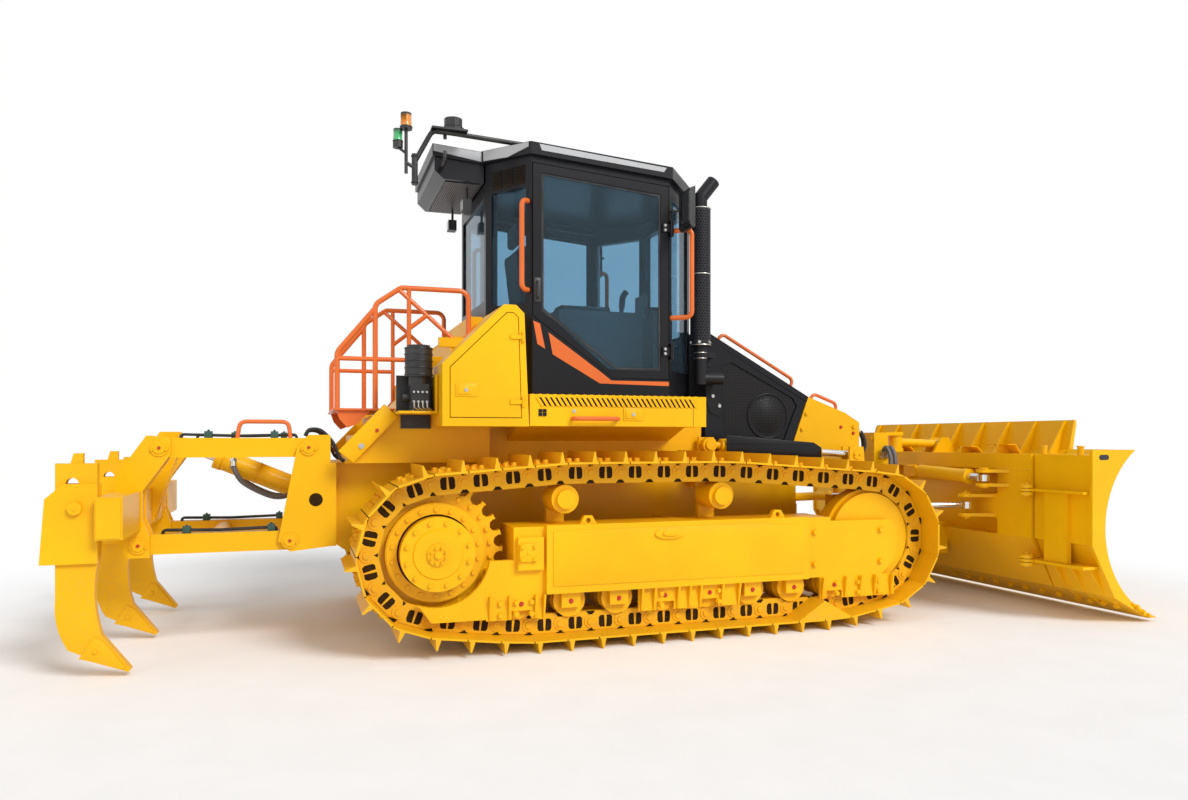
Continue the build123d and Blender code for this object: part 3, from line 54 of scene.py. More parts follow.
# ---------------------------------------------------------------- floor and light
# A plain pale floor, a white sky and one broad soft sun high on the right-hand side.
# Materials are worked out with Shade: arithmetic on a Shade adds nodes to its material.
class Shade:
    """One value or colour on its way through a material's nodes."""

    def __init__(self, tree, socket=None):
        self.tree, self.socket = tree, socket

    def node(self, kind, settings, sockets, output=0):
        """Any node: its settings first, then the values or links of its sockets."""
        made = self.tree.nodes.new(kind)
        for name, value in settings.items():
            if name == "stops":
                ramp = made.color_ramp.elements
                while len(ramp) < len(value):
                    ramp.new(0.5)
                for stop, (place, colour) in zip(ramp, value):
                    stop.position, stop.color = place, (*colour, 1.0)
            else:
                setattr(made, name, value)
        for name, value in sockets.items():
            if isinstance(value, Shade):
                self.tree.links.new(value.socket, made.inputs[name])
            else:
                made.inputs[name].default_value = value
        return Shade(self.tree, made.outputs[output])

    def math(self, operation, *others):
        values = dict(enumerate((self, *others)))
        return self.node("ShaderNodeMath", {"operation": operation}, values)

    def __add__(self, other): return self.math("ADD", other)
    def __sub__(self, other): return self.math("SUBTRACT", other)
    def __mul__(self, other): return self.math("MULTIPLY", other)
    def __gt__(self, other): return self.math("GREATER_THAN", other)
    def __lt__(self, other): return self.math("LESS_THAN", other)
    __radd__, __rmul__ = __add__, __mul__

    def __rsub__(self, other):
        return self.node("ShaderNodeMath", {"operation": "SUBTRACT"}, {0: other, 1: self})

    def step(self, low, high):
        """0 below low, 1 above high, smooth between."""
        return self.node("ShaderNodeMapRange", {"interpolation_type": "SMOOTHSTEP"},
                         {"Value": self, "From Min": low, "From Max": high})

    def mix(self, one, other):
        """The colour one where this value is 0, other where it is 1."""
        return self.node("ShaderNodeMix", {"data_type": "RGBA"}, {0: self, 6: one, 7: other}, 2)


def new_material(name):
    """An empty node material, its Shade, and the place on the object that drives its patterns."""
    material = bpy.data.materials.new(name)
    material.use_nodes = True
    material.node_tree.nodes.clear()
    shade = Shade(material.node_tree)
    return material, shade, shade.node("ShaderNodeTexCoord", {}, {}, 3)


def show(surface):
    """Links a finished shader to its material's output."""
    output = surface.tree.nodes.new("ShaderNodeOutputMaterial")
    surface.tree.links.new(surface.socket, output.inputs["Surface"])


def noise(place, scale, detail=2.0):
    """Cloudy noise, finer as its detail rises."""
    return place.node("ShaderNodeTexNoise", {}, {"Vector": place, "Scale": scale, "Detail": detail})


def rays(shade, kind):
    """1 for one kind of ray and 0 for the others."""
    return shade.node("ShaderNodeLightPath", {}, {}, "Is " + kind + " Ray")


material, shade, place = new_material("pale_floor")
reach = shade.node("ShaderNodeVectorMath", {"operation": "LENGTH"}, {0: place}, 1)
tint = noise(place, 3.0, 3.0).step(0.2, 0.8).mix((0.90, 0.90, 0.90, 1), (0.93, 0.93, 0.93, 1))
matt = shade.node("ShaderNodeBsdfDiffuse", {}, {"Color": tint})
seen = rays(shade, "Camera").math("MAXIMUM", rays(shade, "Glossy"))
seen = seen.math("MAXIMUM", rays(shade, "Transmission"))
white = shade.node("ShaderNodeEmission", {}, {"Color": (1, 1, 1, 1), "Strength": 1.0})
show(shade.node("ShaderNodeMixShader", {}, {0: reach.step(4.6, 6.5) * seen, 1: matt, 2: white}))
mesh = bmesh.new()
bmesh.ops.create_circle(mesh, cap_ends=True, segments=64, radius=60.0)
floor_mesh = bpy.data.meshes.new("floor")
mesh.to_mesh(floor_mesh)
mesh.free()
floor_mesh.materials.append(material)
floor = bpy.data.objects.new("floor", floor_mesh)
bpy.context.scene.collection.objects.link(floor)

world = bpy.data.worlds.new("white_sky")
world.use_nodes = True
world.node_tree.nodes.clear()
shade = Shade(world.node_tree)
seen = rays(shade, "Camera").math("MAXIMUM", rays(shade, "Transmission"))
strength = 0.55 + 0.45 * seen.math("MAXIMUM", rays(shade, "Glossy") * 0.6)
sky = shade.node("ShaderNodeBackground", {}, {"Color": (1, 1, 1, 1), "Strength": strength})
shade.tree.links.new(sky.socket, world.node_tree.nodes.new("ShaderNodeOutputWorld").inputs[0])
bpy.context.scene.world = world
bpy.context.scene.view_settings.view_transform = "Standard"

for name, energy, spread, turn in (("sun", 2.1, 22.0, (52.0, 0.0, 28.0)),
                                   ("fill", 0.5, 60.0, (70.0, 0.0, -60.0))):
    lamp = bpy.data.lights.new(name, "SUN")
    lamp.energy, lamp.angle = energy, radians(spread)
    sun = bpy.data.objects.new(name, lamp)
    sun.rotation_euler = [radians(angle) for angle in turn]
    bpy.context.scene.collection.objects.link(sun)



# ---------------------------------------------------------------- tracks
# Forged links joined by pins and bushings, with a rolled steel shoe bolted across each pair.
# The whole chain was sprayed yellow with the machine and has since picked up dust and scuffs.
def bump(height, distance, strength=1.0):
    """A normal tilted by a height."""
    return height.node("ShaderNodeBump", {}, {
        "Height": height, "Distance": distance, "Strength": strength})


def principled(shade, values):
    """The surface of a material, from the values of its sockets."""
    show(shade.node("ShaderNodeBsdfPrincipled", {}, values))


def part(vector, axis):
    """One of a vector's three numbers."""
    return vector.node("ShaderNodeSeparateXYZ", {}, {"Vector": vector}, axis)


def tone(colour, share=1.0, lift=0.0):
    """A colour made darker or lifted, with its alpha."""
    return (*[lift + share * value for value in colour], 1)


def painted(name, colour, roughness=0.34, coat=0.06, dust=0.08, peel=0.05, worn=0.0):
    """Sprayed paint over steel: peel, cloudy gloss, dust low down, and bare steel where worn."""
    material, shade, place = new_material(name)
    clouds, specks = noise(place, 1.7, 4.0), noise(place, 46.0, 5.0)
    low = 1.0 - part(place, 2).step(0.05, 1.1)
    upward = part(shade.node("ShaderNodeNewGeometry", {}, {}, "Normal"), 2).step(0.55, 0.98)
    settled = (low * 0.6 + upward * 0.4) * specks.step(0.42, 0.72) * dust
    body = clouds.step(0.3, 0.7).mix(tone(colour, 0.88), tone(colour))
    edge = shade.node("ShaderNodeNewGeometry", {}, {}, "Pointiness")
    scuffed = edge.step(0.53, 0.60) * specks.step(0.38, 0.62) * worn
    dusty = settled.mix(body, (0.50, 0.34, 0.15, 1))
    principled(shade, {
        "Base Color": scuffed.mix(dusty, (0.30, 0.27, 0.24, 1)), "Metallic": scuffed,
        "Roughness": roughness + clouds * 0.10 + settled * 0.4, "Specular IOR Level": 0.22,
        "Coat Weight": coat, "Coat Roughness": 0.12,
        "Normal": bump(noise(place, 260.0) * peel + specks * peel * 0.5, 0.004, 0.35)})
    return material


def dress(material, *names):
    """The same finish on every slot of these CAD nodes."""
    for name in names:
        for slot in nodes[name].material_slots:
            slot.material = material


def finished(mesh, name, material, body="chassis", smooth=32.0):
    """A closed mesh made an object: doubles merged, faces outwards, shallow edges shaded round."""
    bmesh.ops.remove_doubles(mesh, verts=mesh.verts, dist=0.00002)
    bmesh.ops.recalc_face_normals(mesh, faces=mesh.faces)
    for face in mesh.faces:
        face.smooth = True
    for edge in mesh.edges:
        edge.smooth = edge.calc_face_angle(0.0) < radians(smooth)
    made = bpy.data.meshes.new(name)
    mesh.to_mesh(made)
    mesh.free()
    made.materials.append(material)
    piece = bpy.data.objects.new(name, made)
    bpy.context.scene.collection.objects.link(piece)
    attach(piece, body)
    return piece


def facing(place, axis):
    """The turn and shift that stand a shape, made along Z, at a place along an axis."""
    return Matrix.Translation(place) @ Vector(axis).to_track_quat("Z", "Y").to_matrix().to_4x4()


def disc(mesh, place, axis, radius, height, sides=20, taper=1.0):
    """A round pad, cap or pin standing on a face."""
    stood = facing(place, axis) @ Matrix.Translation((0, 0, height / 2))
    bmesh.ops.create_cone(mesh, cap_ends=True, segments=sides, radius1=radius,
                          radius2=radius * taper, depth=height, matrix=stood)


def bolt(mesh, place, axis, across=0.030, height=0.014):
    """A hexagon bolt head on its washer."""
    disc(mesh, place, axis, across * 0.70, height * 0.25, 12)
    head = Vector(place) + Vector(axis).normalized() * height * 0.25
    disc(mesh, head, axis, across * 0.56, height, 6, 0.94)


track_paint = painted("track_paint", (0.90, 0.47, 0.003), 0.42, 0.03, 0.12, 0.08, 0.06)
# The near-black material is painted shade: thin plates over the link windows and in the gaps
# between links and shoes.
material, shade, place = new_material("painted_gap_shade")
gap_shade_noise = noise(place, 60.0, 5.0)
principled(shade, {
    "Base Color": gap_shade_noise.mix((0.010, 0.006, 0.003, 1), (0.055, 0.030, 0.006, 1)),
    "Roughness": 0.75 + gap_shade_noise * 0.2, "Specular IOR Level": 0.1,
    "Normal": bump(gap_shade_noise, 0.003)})
painted_gap_shade = material
dress(track_paint, "track_right", "track_left")
track_y, pitch, link_side = 0.94, 0.2032, 0.100
pin_to_shoe, shoe = 0.063, 0.012
roller_z, roller_lift = 0.2883, 0.0067
wheels = ((-1.472, 0.615, pitch / 2 / sin(2 * pi / 25)), (-0.659, 0.922, 0.162),
          (0.439, 0.922, 0.162), (1.620, 0.600, 0.400),
          (1.279, roller_z + roller_lift, 0.155), (-0.961, roller_z + roller_lift, 0.155))
leaving = []
for (ax, az, ar), (bx, bz, br) in zip(wheels, wheels[1:] + wheels[:1]):
    leaving.append(atan2(bz - az, bx - ax) + acos((ar - br) / hypot(bx - ax, bz - az)))
# the pin line, as short steps
line = []
for i, (x, z, radius) in enumerate(wheels):
    turn = (leaving[i - 1] - leaving[i]) % (2 * pi)
    for step in range(65):
        angle = leaving[i - 1] - turn * step / 64
        line.append(Vector((x + radius * cos(angle), 0, z + radius * sin(angle))))
line.append(line[0])
lengths = [(b - a).length for a, b in zip(line, line[1:])]
count = round(sum(lengths) / pitch)


def on_line(distance):
    """The point of the pin line at a distance from the top of the sprocket's arc."""
    distance %= sum(lengths)
    for a, b, length in zip(line, line[1:], lengths):
        if distance <= length:
            return a.lerp(b, distance / length)
        distance -= length
    return line[-1]


def laid(mesh, link, shift, outline):
    """The corners of an outline on a link, along and up from its pin."""
    pin, ahead, out = link
    return [mesh.verts.new(pin + ahead * along + out * up + shift) for along, up in outline]


rim = ((0.005, -0.034), (0.030, -0.060), (0.173, -0.060), (0.198, -0.034),
       (0.198, 0.036), (0.184, 0.056), (0.019, 0.056), (0.005, 0.036))
window = ((0.056, -0.020), (0.066, -0.034), (0.137, -0.034), (0.147, -0.020),
          (0.147, 0.026), (0.137, 0.042), (0.066, 0.042), (0.056, 0.026))
web = ((0.093, -0.034), (0.110, -0.034), (0.106, 0.042), (0.097, 0.042))
above = ((-0.026, 0.036), (0.019, 0.057), (0.030, 0.066), (-0.032, 0.066))
below = ((-0.026, -0.040), (-0.030, -0.0645), (0.030, -0.0645), (0.010, -0.040))
seam = ((-0.003, 0.0635), (0.003, 0.0635), (0.003, 0.0755), (-0.003, 0.0755))
seam_across = ((-0.003, -0.28), (0.003, -0.28), (0.003, 0.28), (-0.003, 0.28))
start = wheels[0][2] * ((leaving[-1] - pi) % (2 * pi))
pins = [on_line(start + sum(lengths) * i / count) for i in range(count)]
both_sides = (("right", -1), ("left", 1))
for name, side in both_sides:
    bolts, links, shade_plates = (bmesh.new() for i in range(3))
    face = Vector((0, side * (track_y + link_side), 0))
    shade_face = face + Vector((0, side * 0.0008, 0))
    for a, b in zip(pins, pins[1:] + pins[:1]):
        ahead = (b - a).normalized()
        out = Vector((-ahead.z, 0, ahead.x))
        link = (a, ahead, out)
        for along in (0.058, 0.112):
            for across in (-0.105, 0.105):
                place = a + ahead * along + out * (pin_to_shoe + shoe)
                place.y = side * track_y + across
                bolt(bolts, place, out, 0.034, 0.018)
        low, high = laid(links, link, face, rim), laid(links, link, face, window)
        for i in range(8):
            links.faces.new((low[i], low[i - 1], high[i - 1], high[i]))
        links.faces.new(laid(links, link, face, web))
        # the link windows and the notches between links get near-black plates of painted shade
        for outline in (window, above, below):
            shade_plates.faces.new(laid(shade_plates, link, shade_face, outline))
        # the gaps between neighbouring shoes get thin strips of painted shade
        for edge in (0.2806, -0.2806):
            shade_plates.faces.new(laid(shade_plates, link, Vector((0, side * (track_y + edge), 0)), seam))
        shade_plates.faces.new([shade_plates.verts.new(a + ahead * along + out * 0.0757
                                       + Vector((0, side * (track_y + across), 0)))
                        for along, across in seam_across])
        disc(links, a + face, (0, side, 0), 0.044, 0.010, 18, 0.94)
        disc(links, a + face, (0, side, 0), 0.024, 0.017, 14, 0.9)
    plates = [face for face in links.faces if len(face.verts) == 4 and face.normal.y ** 2 > 0.99
              and all(abs(abs(v.co.y) - track_y - link_side) < 1e-5 for v in face.verts)]
    raised = bmesh.ops.extrude_face_region(links, geom=plates)["geom"]
    bmesh.ops.translate(links, vec=(0, side * 0.005, 0),
                        verts=[v for v in raised if isinstance(v, bmesh.types.BMVert)])
    bmesh.ops.solidify(shade_plates, geom=shade_plates.faces[:], thickness=0.0006)
    finished(bolts, "shoe_bolts_" + name, track_paint)
    finished(links, "link_sides_" + name, track_paint)
    finished(shade_plates, "chain_gaps_" + name, painted_gap_shade)


# ---------------------------------------------------------------- sprockets, idlers and rollers
# Cast steel, driven through planetary hubs whose covers and toothed rims are bolted on.
# Idlers and rollers turn on pins in the frames; all of them wear the machine's yellow paint.
yellow = painted("yellow_paint", (0.94, 0.50, 0.001))
dress(yellow, "final_drives", "front_idlers", "track_rollers", "carrier_rollers")
hub_x, hub_z = wheels[0][:2]
hub_rim, hub_cover, hub_cap = (track_y + out for out in (0.085, 0.180, 0.202))
hub = bmesh.new()
for side in (-1, 1):
    for count, radius, depth, across in ((25, 0.345, track_y + 0.030, 0.026),
                                         (18, 0.262, hub_rim, 0.026),
                                         (12, 0.190, hub_cover, 0.022),
                                         (8, 0.046, hub_cap, 0.014)):
        for i in range(count):
            angle = 2 * pi * (i + 0.5) / count
            bolt(hub, (hub_x + radius * cos(angle), side * depth, hub_z + radius * sin(angle)),
                 (0, side, 0), across, 0.014)
    disc(hub, (hub_x, side * hub_cap, hub_z), (0, side, 0), 0.026, 0.012, 6)
    disc(hub, (hub_x, side * hub_cover, hub_z), (0, side, 0), 0.150, 0.008, 48, 0.96)
    for radius in (0.235, 0.296):
        disc(hub, (hub_x, side * hub_rim, hub_z), (0, side, 0), radius, 0.006, 64, 0.99)
finished(hub, "hub_bolts", yellow)


# ---------------------------------------------------------------- roller frames
# Box beams welded from plate, with a pressed cover over the spring and ribbed guards below.
# The lifting eyes are drilled, and each roller shaft is greased through a red-capped nipple.
dress(yellow, "track_frame_right", "track_frame_left")


def slab(mesh, outline, near, far, axis="y"):
    """A plate from its outline in the other two axes, and two places along the axis."""
    at = {"x": lambda a, b, d: (d, a, b), "y": lambda a, b, d: (a, d, b),
          "z": lambda a, b, d: (a, b, d)}[axis]
    face = mesh.faces.new([mesh.verts.new(at(a, b, near)) for a, b in outline])
    moved = bmesh.ops.extrude_face_region(mesh, geom=[face])["geom"]
    verts = [v for v in moved if isinstance(v, bmesh.types.BMVert)]
    bmesh.ops.translate(mesh, vec=at(0, 0, far - near), verts=verts)
    return verts


def softened(mesh, width=0.004, segments=2, angle=30.0):
    """Rounds the sharp edges of everything in a mesh."""
    bmesh.ops.remove_doubles(mesh, verts=mesh.verts, dist=0.00002)
    sharp = [e for e in mesh.edges if e.calc_face_angle(0.0) > radians(angle)]
    bmesh.ops.bevel(mesh, geom=sharp, offset=width, segments=segments, profile=0.5,
                    affect="EDGES", material=-1, clamp_overlap=True)


def box(mesh, x, y, z):
    """A block between two x, two y and two z."""
    slab(mesh, ((x[0], z[0]), (x[1], z[0]), (x[1], z[1]), (x[0], z[1])), y[0], y[1])


def off(side, wall, near, far):
    """Two distances out from a wall, on either side of the machine."""
    return side * (wall + near), side * (wall + far)


side_face = track_y + 0.170
cover_face = side_face + 0.040
frames = bmesh.new()
fixings = bmesh.new()
red_caps = bmesh.new()
for side in (-1, 1):
    slab(frames, ((-0.77, 0.39), (1.01, 0.39), (1.01, 0.715), (0.60, 0.735), (-0.77, 0.735)),
         *off(side, cover_face, -0.001, 0.006))
    pad = [(0.010 + 0.105 * cos(pi * i / 18), 0.694 + 0.036 * sin(pi * i / 18)) for i in range(36)]
    slab(frames, pad, *off(side, cover_face, 0.004, 0.020))
    lid = [(0.010 + 0.055 * cos(pi * i / 12), 0.698 + 0.020 * sin(pi * i / 12)) for i in range(24)]
    slab(frames, lid, *off(side, cover_face, 0.018, 0.032))
    box(frames, (-0.985, -0.873),
        off(side, cover_face, -0.001, 0.016), (0.552, 0.662))
    for x in (-0.968, -0.890):
        for z in (0.569, 0.645):
            bolt(fixings, (x, side * (cover_face + 0.016), z), (0, side, 0), 0.024, 0.012)
    disc(fixings, (-0.929, side * (cover_face + 0.016), 0.607), (0, side, 0), 0.010, 0.006, 16)
    for x in (1.12, 1.66):
        for z in (0.44, 0.66):
            bolt(fixings, (x, side * side_face, z), (0, side, 0), 0.036, 0.018)
    for start, end in ((-1.16, -0.83), (-0.168, 0.52), (1.18, 1.757)):
        for share in (0.20, 0.50, 0.80):
            x = start + (end - start) * share
            bolt(fixings, (x, side * side_face, 0.228), (0, side, 0), 0.030, 0.016)
            bolt(fixings, (x, side * side_face, 0.300), (0, side, 0), 0.030, 0.016)
    for x in (-1.165, -1.046, -0.880, -0.826, -0.176, -0.088, 0.078, 0.160, 0.238, 0.396, 0.522,
              1.172, 1.358, 1.480, 1.600, 1.740):
        slab(frames, ((side * (side_face - 0.001), 0.196), (side * (side_face + 0.008), 0.196),
                      (side * (side_face + 0.040), 0.345), (side * (side_face - 0.001), 0.345)),
             x, x + 0.014, "x")
    for i in range(8):
        x = -0.961 + 0.320 * i
        disc(red_caps, (x, side * side_face, roller_z), (0, side, 0), 0.016, 0.010, 12, 0.7)
softened(frames, 0.003)
finished(frames, "roller_frame_covers", yellow)
finished(fixings, "roller_frame_bolts", yellow)


def plastic(name, colour, roughness=0.45, grain=900.0):
    """Moulded plastic or rubber: a fine grain and a slight bloom."""
    material, shade, place = new_material(name)
    bloom = noise(place, 7.0, 4.0)
    principled(shade, {
        "Base Color": bloom.step(0.35, 0.75).mix(tone(colour), tone(colour, 0.9, 0.03)),
        "Roughness": roughness + bloom * 0.15, "Normal": bump(noise(place, grain), 0.0004, 0.4)})
    return material


red_plastic = plastic("red_cap", (0.50, 0.015, 0.01), 0.35)
finished(red_caps, "roller_grease_caps", red_plastic)


# ---------------------------------------------------------------- hull, engine and final fixings
# A welded case carries everything: engine in front, cab over the middle, ripper behind.
# The pivots of the push arms are capped with bolted retainers, and the engine is raw casting.
iron = painted("cast_iron_paint", (0.10, 0.10, 0.10), 0.55, 0.0, 0.4, 0.3)
dress(yellow, "main_frame", "lift_brackets", "rear_body", "cab_base")
dress(iron, "engine")
caps = bmesh.new()
for side in (-1, 1):
    disc(caps, (-0.050, side * 0.605, 0.450), (0, side, 0), 0.075, 0.014, 32, 0.96)
    for i in range(4):
        angle = pi / 4 + pi / 2 * i
        bolt(caps, (-0.050 + 0.050 * cos(angle), side * 0.619, 0.450 + 0.050 * sin(angle)),
             (0, side, 0), 0.020, 0.010)
finished(caps, "pivot_caps", yellow)


# ---------------------------------------------------------------- hood, engine panels and nose
# Pressed steel panels in satin black over the engine, with a mesh window for the side fan.
# The nose is a yellow fabrication bolted to the frame, behind a slatted black grille.
black = painted("black_paint", (0.008, 0.008, 0.011), 0.26, 0.10, 0.0, 0.02)
satin = painted("satin_black_paint", (0.010, 0.010, 0.011), 0.45, 0.02, 0.0, 0.06)
orange = painted("orange_paint", (0.80, 0.17, 0.030), 0.36, 0.25, 0.0, 0.03)
dress(black, "hood", "engine_side_panels")
dress(satin, "front_grille")
dress(yellow, "nose")
dress(orange, "rear_rails")


def perforated(name, colour, pitch, axes, hole=0.34):
    """Punched sheet: a square grid of holes painted near-black as shade, drawn over two of the
    axes.
    """
    material, shade, place = new_material(name)
    across = [(part(place, axis) * (1.0 / pitch)).math("FRACT") - 0.5 for axis in axes]
    reach = (across[0] * across[0] + across[1] * across[1]).math("SQRT")
    solid = reach.step(hole - 0.05, hole + 0.05)
    principled(shade, {
        # the near-black of the holes is painted shade
        "Base Color": solid.mix((0.002, 0.002, 0.002, 1), (*colour, 1)),
        "Roughness": 0.75 - solid * 0.35, "Specular IOR Level": 0.25,
        "Normal": bump(solid, 0.002)})
    return material


def ring(mesh, place, axis, radius, section, sides=40, facets=8):
    """A round bar bent to a ring."""
    turn = facing(place, axis)
    rows = [[mesh.verts.new(turn @ Vector(((radius + section * cos(b)) * cos(a),
                                           (radius + section * cos(b)) * sin(a),
                                           section * sin(b))))
             for b in (2 * pi * j / facets for j in range(facets))]
            for a in (2 * pi * i / sides for i in range(sides))]
    for i in range(sides):
        for j in range(facets):
            mesh.faces.new((rows[i][j], rows[i - 1][j], rows[i - 1][j - 1], rows[i][j - 1]))


fan_mesh = perforated("side_mesh", (0.016, 0.016, 0.018), 0.012, (0, 2))
screens, guards, studs = bmesh.new(), bmesh.new(), bmesh.new()
hood_side = 0.460
window = ((0.765, 1.296), (1.265, 1.296), (1.378, 1.562), (1.346, 1.614), (0.822, 1.872),
          (0.746, 1.844))
for side in (-1, 1):
    slab(screens, window, *off(side, hood_side, -0.012, -0.008))
    ring(guards, (1.130, side * (hood_side - 0.005), 1.480), (0, side, 0), 0.168, 0.006)
    for i in range(4):
        disc(screens, (1.130, side * (hood_side - 0.008 + 0.003 * i), 1.480), (0, side, 0),
             0.150 - 0.020 * i, 0.003, 40, 0.94)
    for x, z in ((0.642, 1.780), (0.661, 1.623), (0.715, 1.550)):
        bolt(studs, (x, side * hood_side, z), (0, side, 0), 0.026, 0.012)
    slab(guards, ((0.606, 1.84), (0.655, 1.84), (0.672, 1.64), (0.74, 1.52), (0.72, 1.47),
                  (0.64, 1.50), (0.606, 1.60)), *off(side, hood_side, 0, 0.006))
softened(guards, 0.001, 1, 60.0)
finished(screens, "fan_screens", fan_mesh, "chassis")
finished(guards, "fan_guards", satin, "chassis")


def metal(name, colour, roughness, scale=320.0):
    """Bare or plated metal, faintly brushed or spotted."""
    material, shade, place = new_material(name)
    spots = noise(place, scale, 3.0)
    principled(shade, {
        "Base Color": spots.step(0.3, 0.7).mix(tone(colour, 0.85), tone(colour)),
        "Metallic": 1.0, "Roughness": roughness + spots * 0.08,
        "Normal": bump(spots, 0.0004, 0.25)})
    return material


zinc = metal("zinc_plate", (0.62, 0.61, 0.58), 0.30)
finished(studs, "hood_bolts", zinc, "chassis")
nose_bolts, nose_caps = bmesh.new(), bmesh.new()
for side in (-1, 1):
    for x, z in ((1.385, 1.26), (1.43, 1.38), (1.47, 1.50), (1.90, 1.24), (1.90, 1.40)):
        bolt(nose_bolts, (x, side * hood_side, z), (0, side, 0), 0.026, 0.012)
    for x, z in ((1.782, 1.398), (1.896, 1.350)):
        disc(nose_caps, (x, side * hood_side, z), (0, side, 0), 0.014, 0.010, 12, 0.7)
finished(nose_bolts, "nose_bolts", yellow)
finished(nose_caps, "nose_grease_caps", red_plastic)


# ---------------------------------------------------------------- walkways, cabinets and steps
# Folded plate boxes over the tracks hold batteries and filters; their tops are the way to the cab.
# The vents are slanted louvres, the latches are paddles, and the treads have raised buttons.
dress(yellow, "walkways", "cabinets", "cabinet_door_right", "cabinet_door_left")
deck_side = 1.100
louvres, paddles, walk_trim, treads, grabs, vent_shade, sockets = (bmesh.new() for i in range(7))


def tube(mesh, points, radius, sides=10):
    """A bent bar: one ring of edges at each point, bridged to the next."""
    rings = []
    for i, point in enumerate(points):
        before, after = points[max(i - 1, 0)], points[min(i + 1, len(points) - 1)]
        along = (Vector(after) - Vector(before)).normalized()
        made = bmesh.ops.create_circle(mesh, cap_ends=i in (0, len(points) - 1), segments=sides,
                                       radius=radius, matrix=facing(point, along))["verts"]
        rings.append(list({edge for vert in made for edge in vert.link_edges}))
    for one, other in zip(rings, rings[1:]):
        bmesh.ops.bridge_loops(mesh, edges=one + other)


def arc_points(points, bend, steps=5):
    """The corners of a bent bar rounded off."""
    points = [Vector(point) for point in points]
    rounded = [points[0]]
    for before, corner, after in zip(points, points[1:], points[2:]):
        a, b = (before - corner).normalized() * bend, (after - corner).normalized() * bend
        for i in range(steps + 1):
            share = i / steps
            rounded.append(corner + a * (1 - share) ** 2 + b * share ** 2)
    return rounded + [points[-1]]


for side in (-1, 1):
    # a thin near-black sheet behind the louvres is painted shade in the vent openings
    slab(vent_shade, ((-0.862, 1.562), (0.205, 1.562), (0.235, 1.508), (-0.835, 1.508)),
         *off(side, deck_side, -0.0004, 0.0006))
    for i in range(32):
        x = -0.868 + i * 0.0338
        slab(louvres, ((x, 1.5625), (x + 0.019, 1.5625), (x + 0.054, 1.5075), (x + 0.035, 1.5075)),
             *off(side, deck_side, -0.0004, 0.007))
    for x in (-0.850, -0.822):
        for z in (1.455, 1.478):
            box(sockets, (x, x + 0.022),
                off(side, deck_side, 0, 0.007), (z - 0.010, z + 0.010))
    box(sockets, (0.202, 0.205),
        off(side, deck_side, -0.0004, 0.0006), (1.383, 1.500))
    disc(walk_trim, (-0.620, side * deck_side, 1.478), (0, side, 0), 0.012, 0.006, 16)
    for x, z in ((-1.298, 1.598), (-0.220, 1.460)):
        box(paddles, (x - 0.068, x + 0.068),
            off(side, deck_side, 0, 0.006), (z - 0.040, z + 0.040))
        box(paddles, (x - 0.055, x + 0.022),
            off(side, deck_side, 0.005, 0.012), (z - 0.026, z + 0.026))
        disc(walk_trim, (x - 0.004, side * (deck_side + 0.011), z), (0, side, 0), 0.012, 0.006, 16)
    tube(grabs, arc_points(((-0.630, side * deck_side, 1.430), (-0.630, side * (deck_side + 0.055),
         1.430), (-0.335, side * (deck_side + 0.055), 1.430), (-0.335, side * deck_side, 1.430)),
         0.030), 0.014)
    for i in range(24):
        x = -0.88 + i * 0.0485
        for y in (0.84, 0.92, 1.00, 1.07):
            disc(treads, (x, side * y, 1.580), (0, 0, 1), 0.012, 0.004, 8, 0.7)
for x in (-1.92, -1.80, -1.56, -1.43, -1.30, -1.17):
    slope = (2.127 - 1.150) / (1.986 - 1.070)
    top = 1.150 + slope * (x + 0.090 + 1.986) + 0.012
    for i in range(17):
        for along in (0.022, 0.066):
            disc(treads, (x + along, -0.44 + i * 0.055, top), (0, 0, 1), 0.013, 0.004, 8, 0.7)
softened(paddles, 0.003)
finished(louvres, "walkway_louvres", yellow)
finished(vent_shade, "walkway_vent_shade", painted_gap_shade)
finished(sockets, "service_sockets", satin, "chassis")
finished(paddles, "walkway_latches", yellow)
finished(walk_trim, "latch_locks", zinc)
finished(treads, "anti_slip_buttons", yellow)
finished(grabs, "walkway_grabs", orange, "chassis")


# ---------------------------------------------------------------- rear steps and platform skirt
# The stair strings are folded plate bolted to both sides of the sloping rear body.
# The platform is stiffened by an orange skirt under each end, of the same plate as its floor.
strings, string_bolts, string_caps, skirts = (bmesh.new() for i in range(4))
for side in (-1, 1):
    slab(strings, ((-2.025, 1.228), (-1.934, 1.152), (-1.663, 1.440), (-1.745, 1.524)),
         side * 0.678, side * 0.702)
    bolt(string_bolts, (-1.886, side * 0.702, 1.258), (0, side, 0), 0.026, 0.012)
    disc(string_caps, (-1.791, side * 0.702, 1.357), (0, side, 0), 0.012, 0.010, 12, 0.7)
    slab(skirts, ((-2.030, 1.489), (-1.815, 1.489), (-1.900, 1.400), (-1.960, 1.375),
                  (-2.010, 1.430)), side * 0.505, side * 0.520)
softened(strings, 0.005)
finished(strings, "stair_strings", yellow)
finished(string_bolts, "string_bolts", zinc)
finished(string_caps, "string_caps", red_plastic)
finished(skirts, "platform_skirts", orange, "chassis")


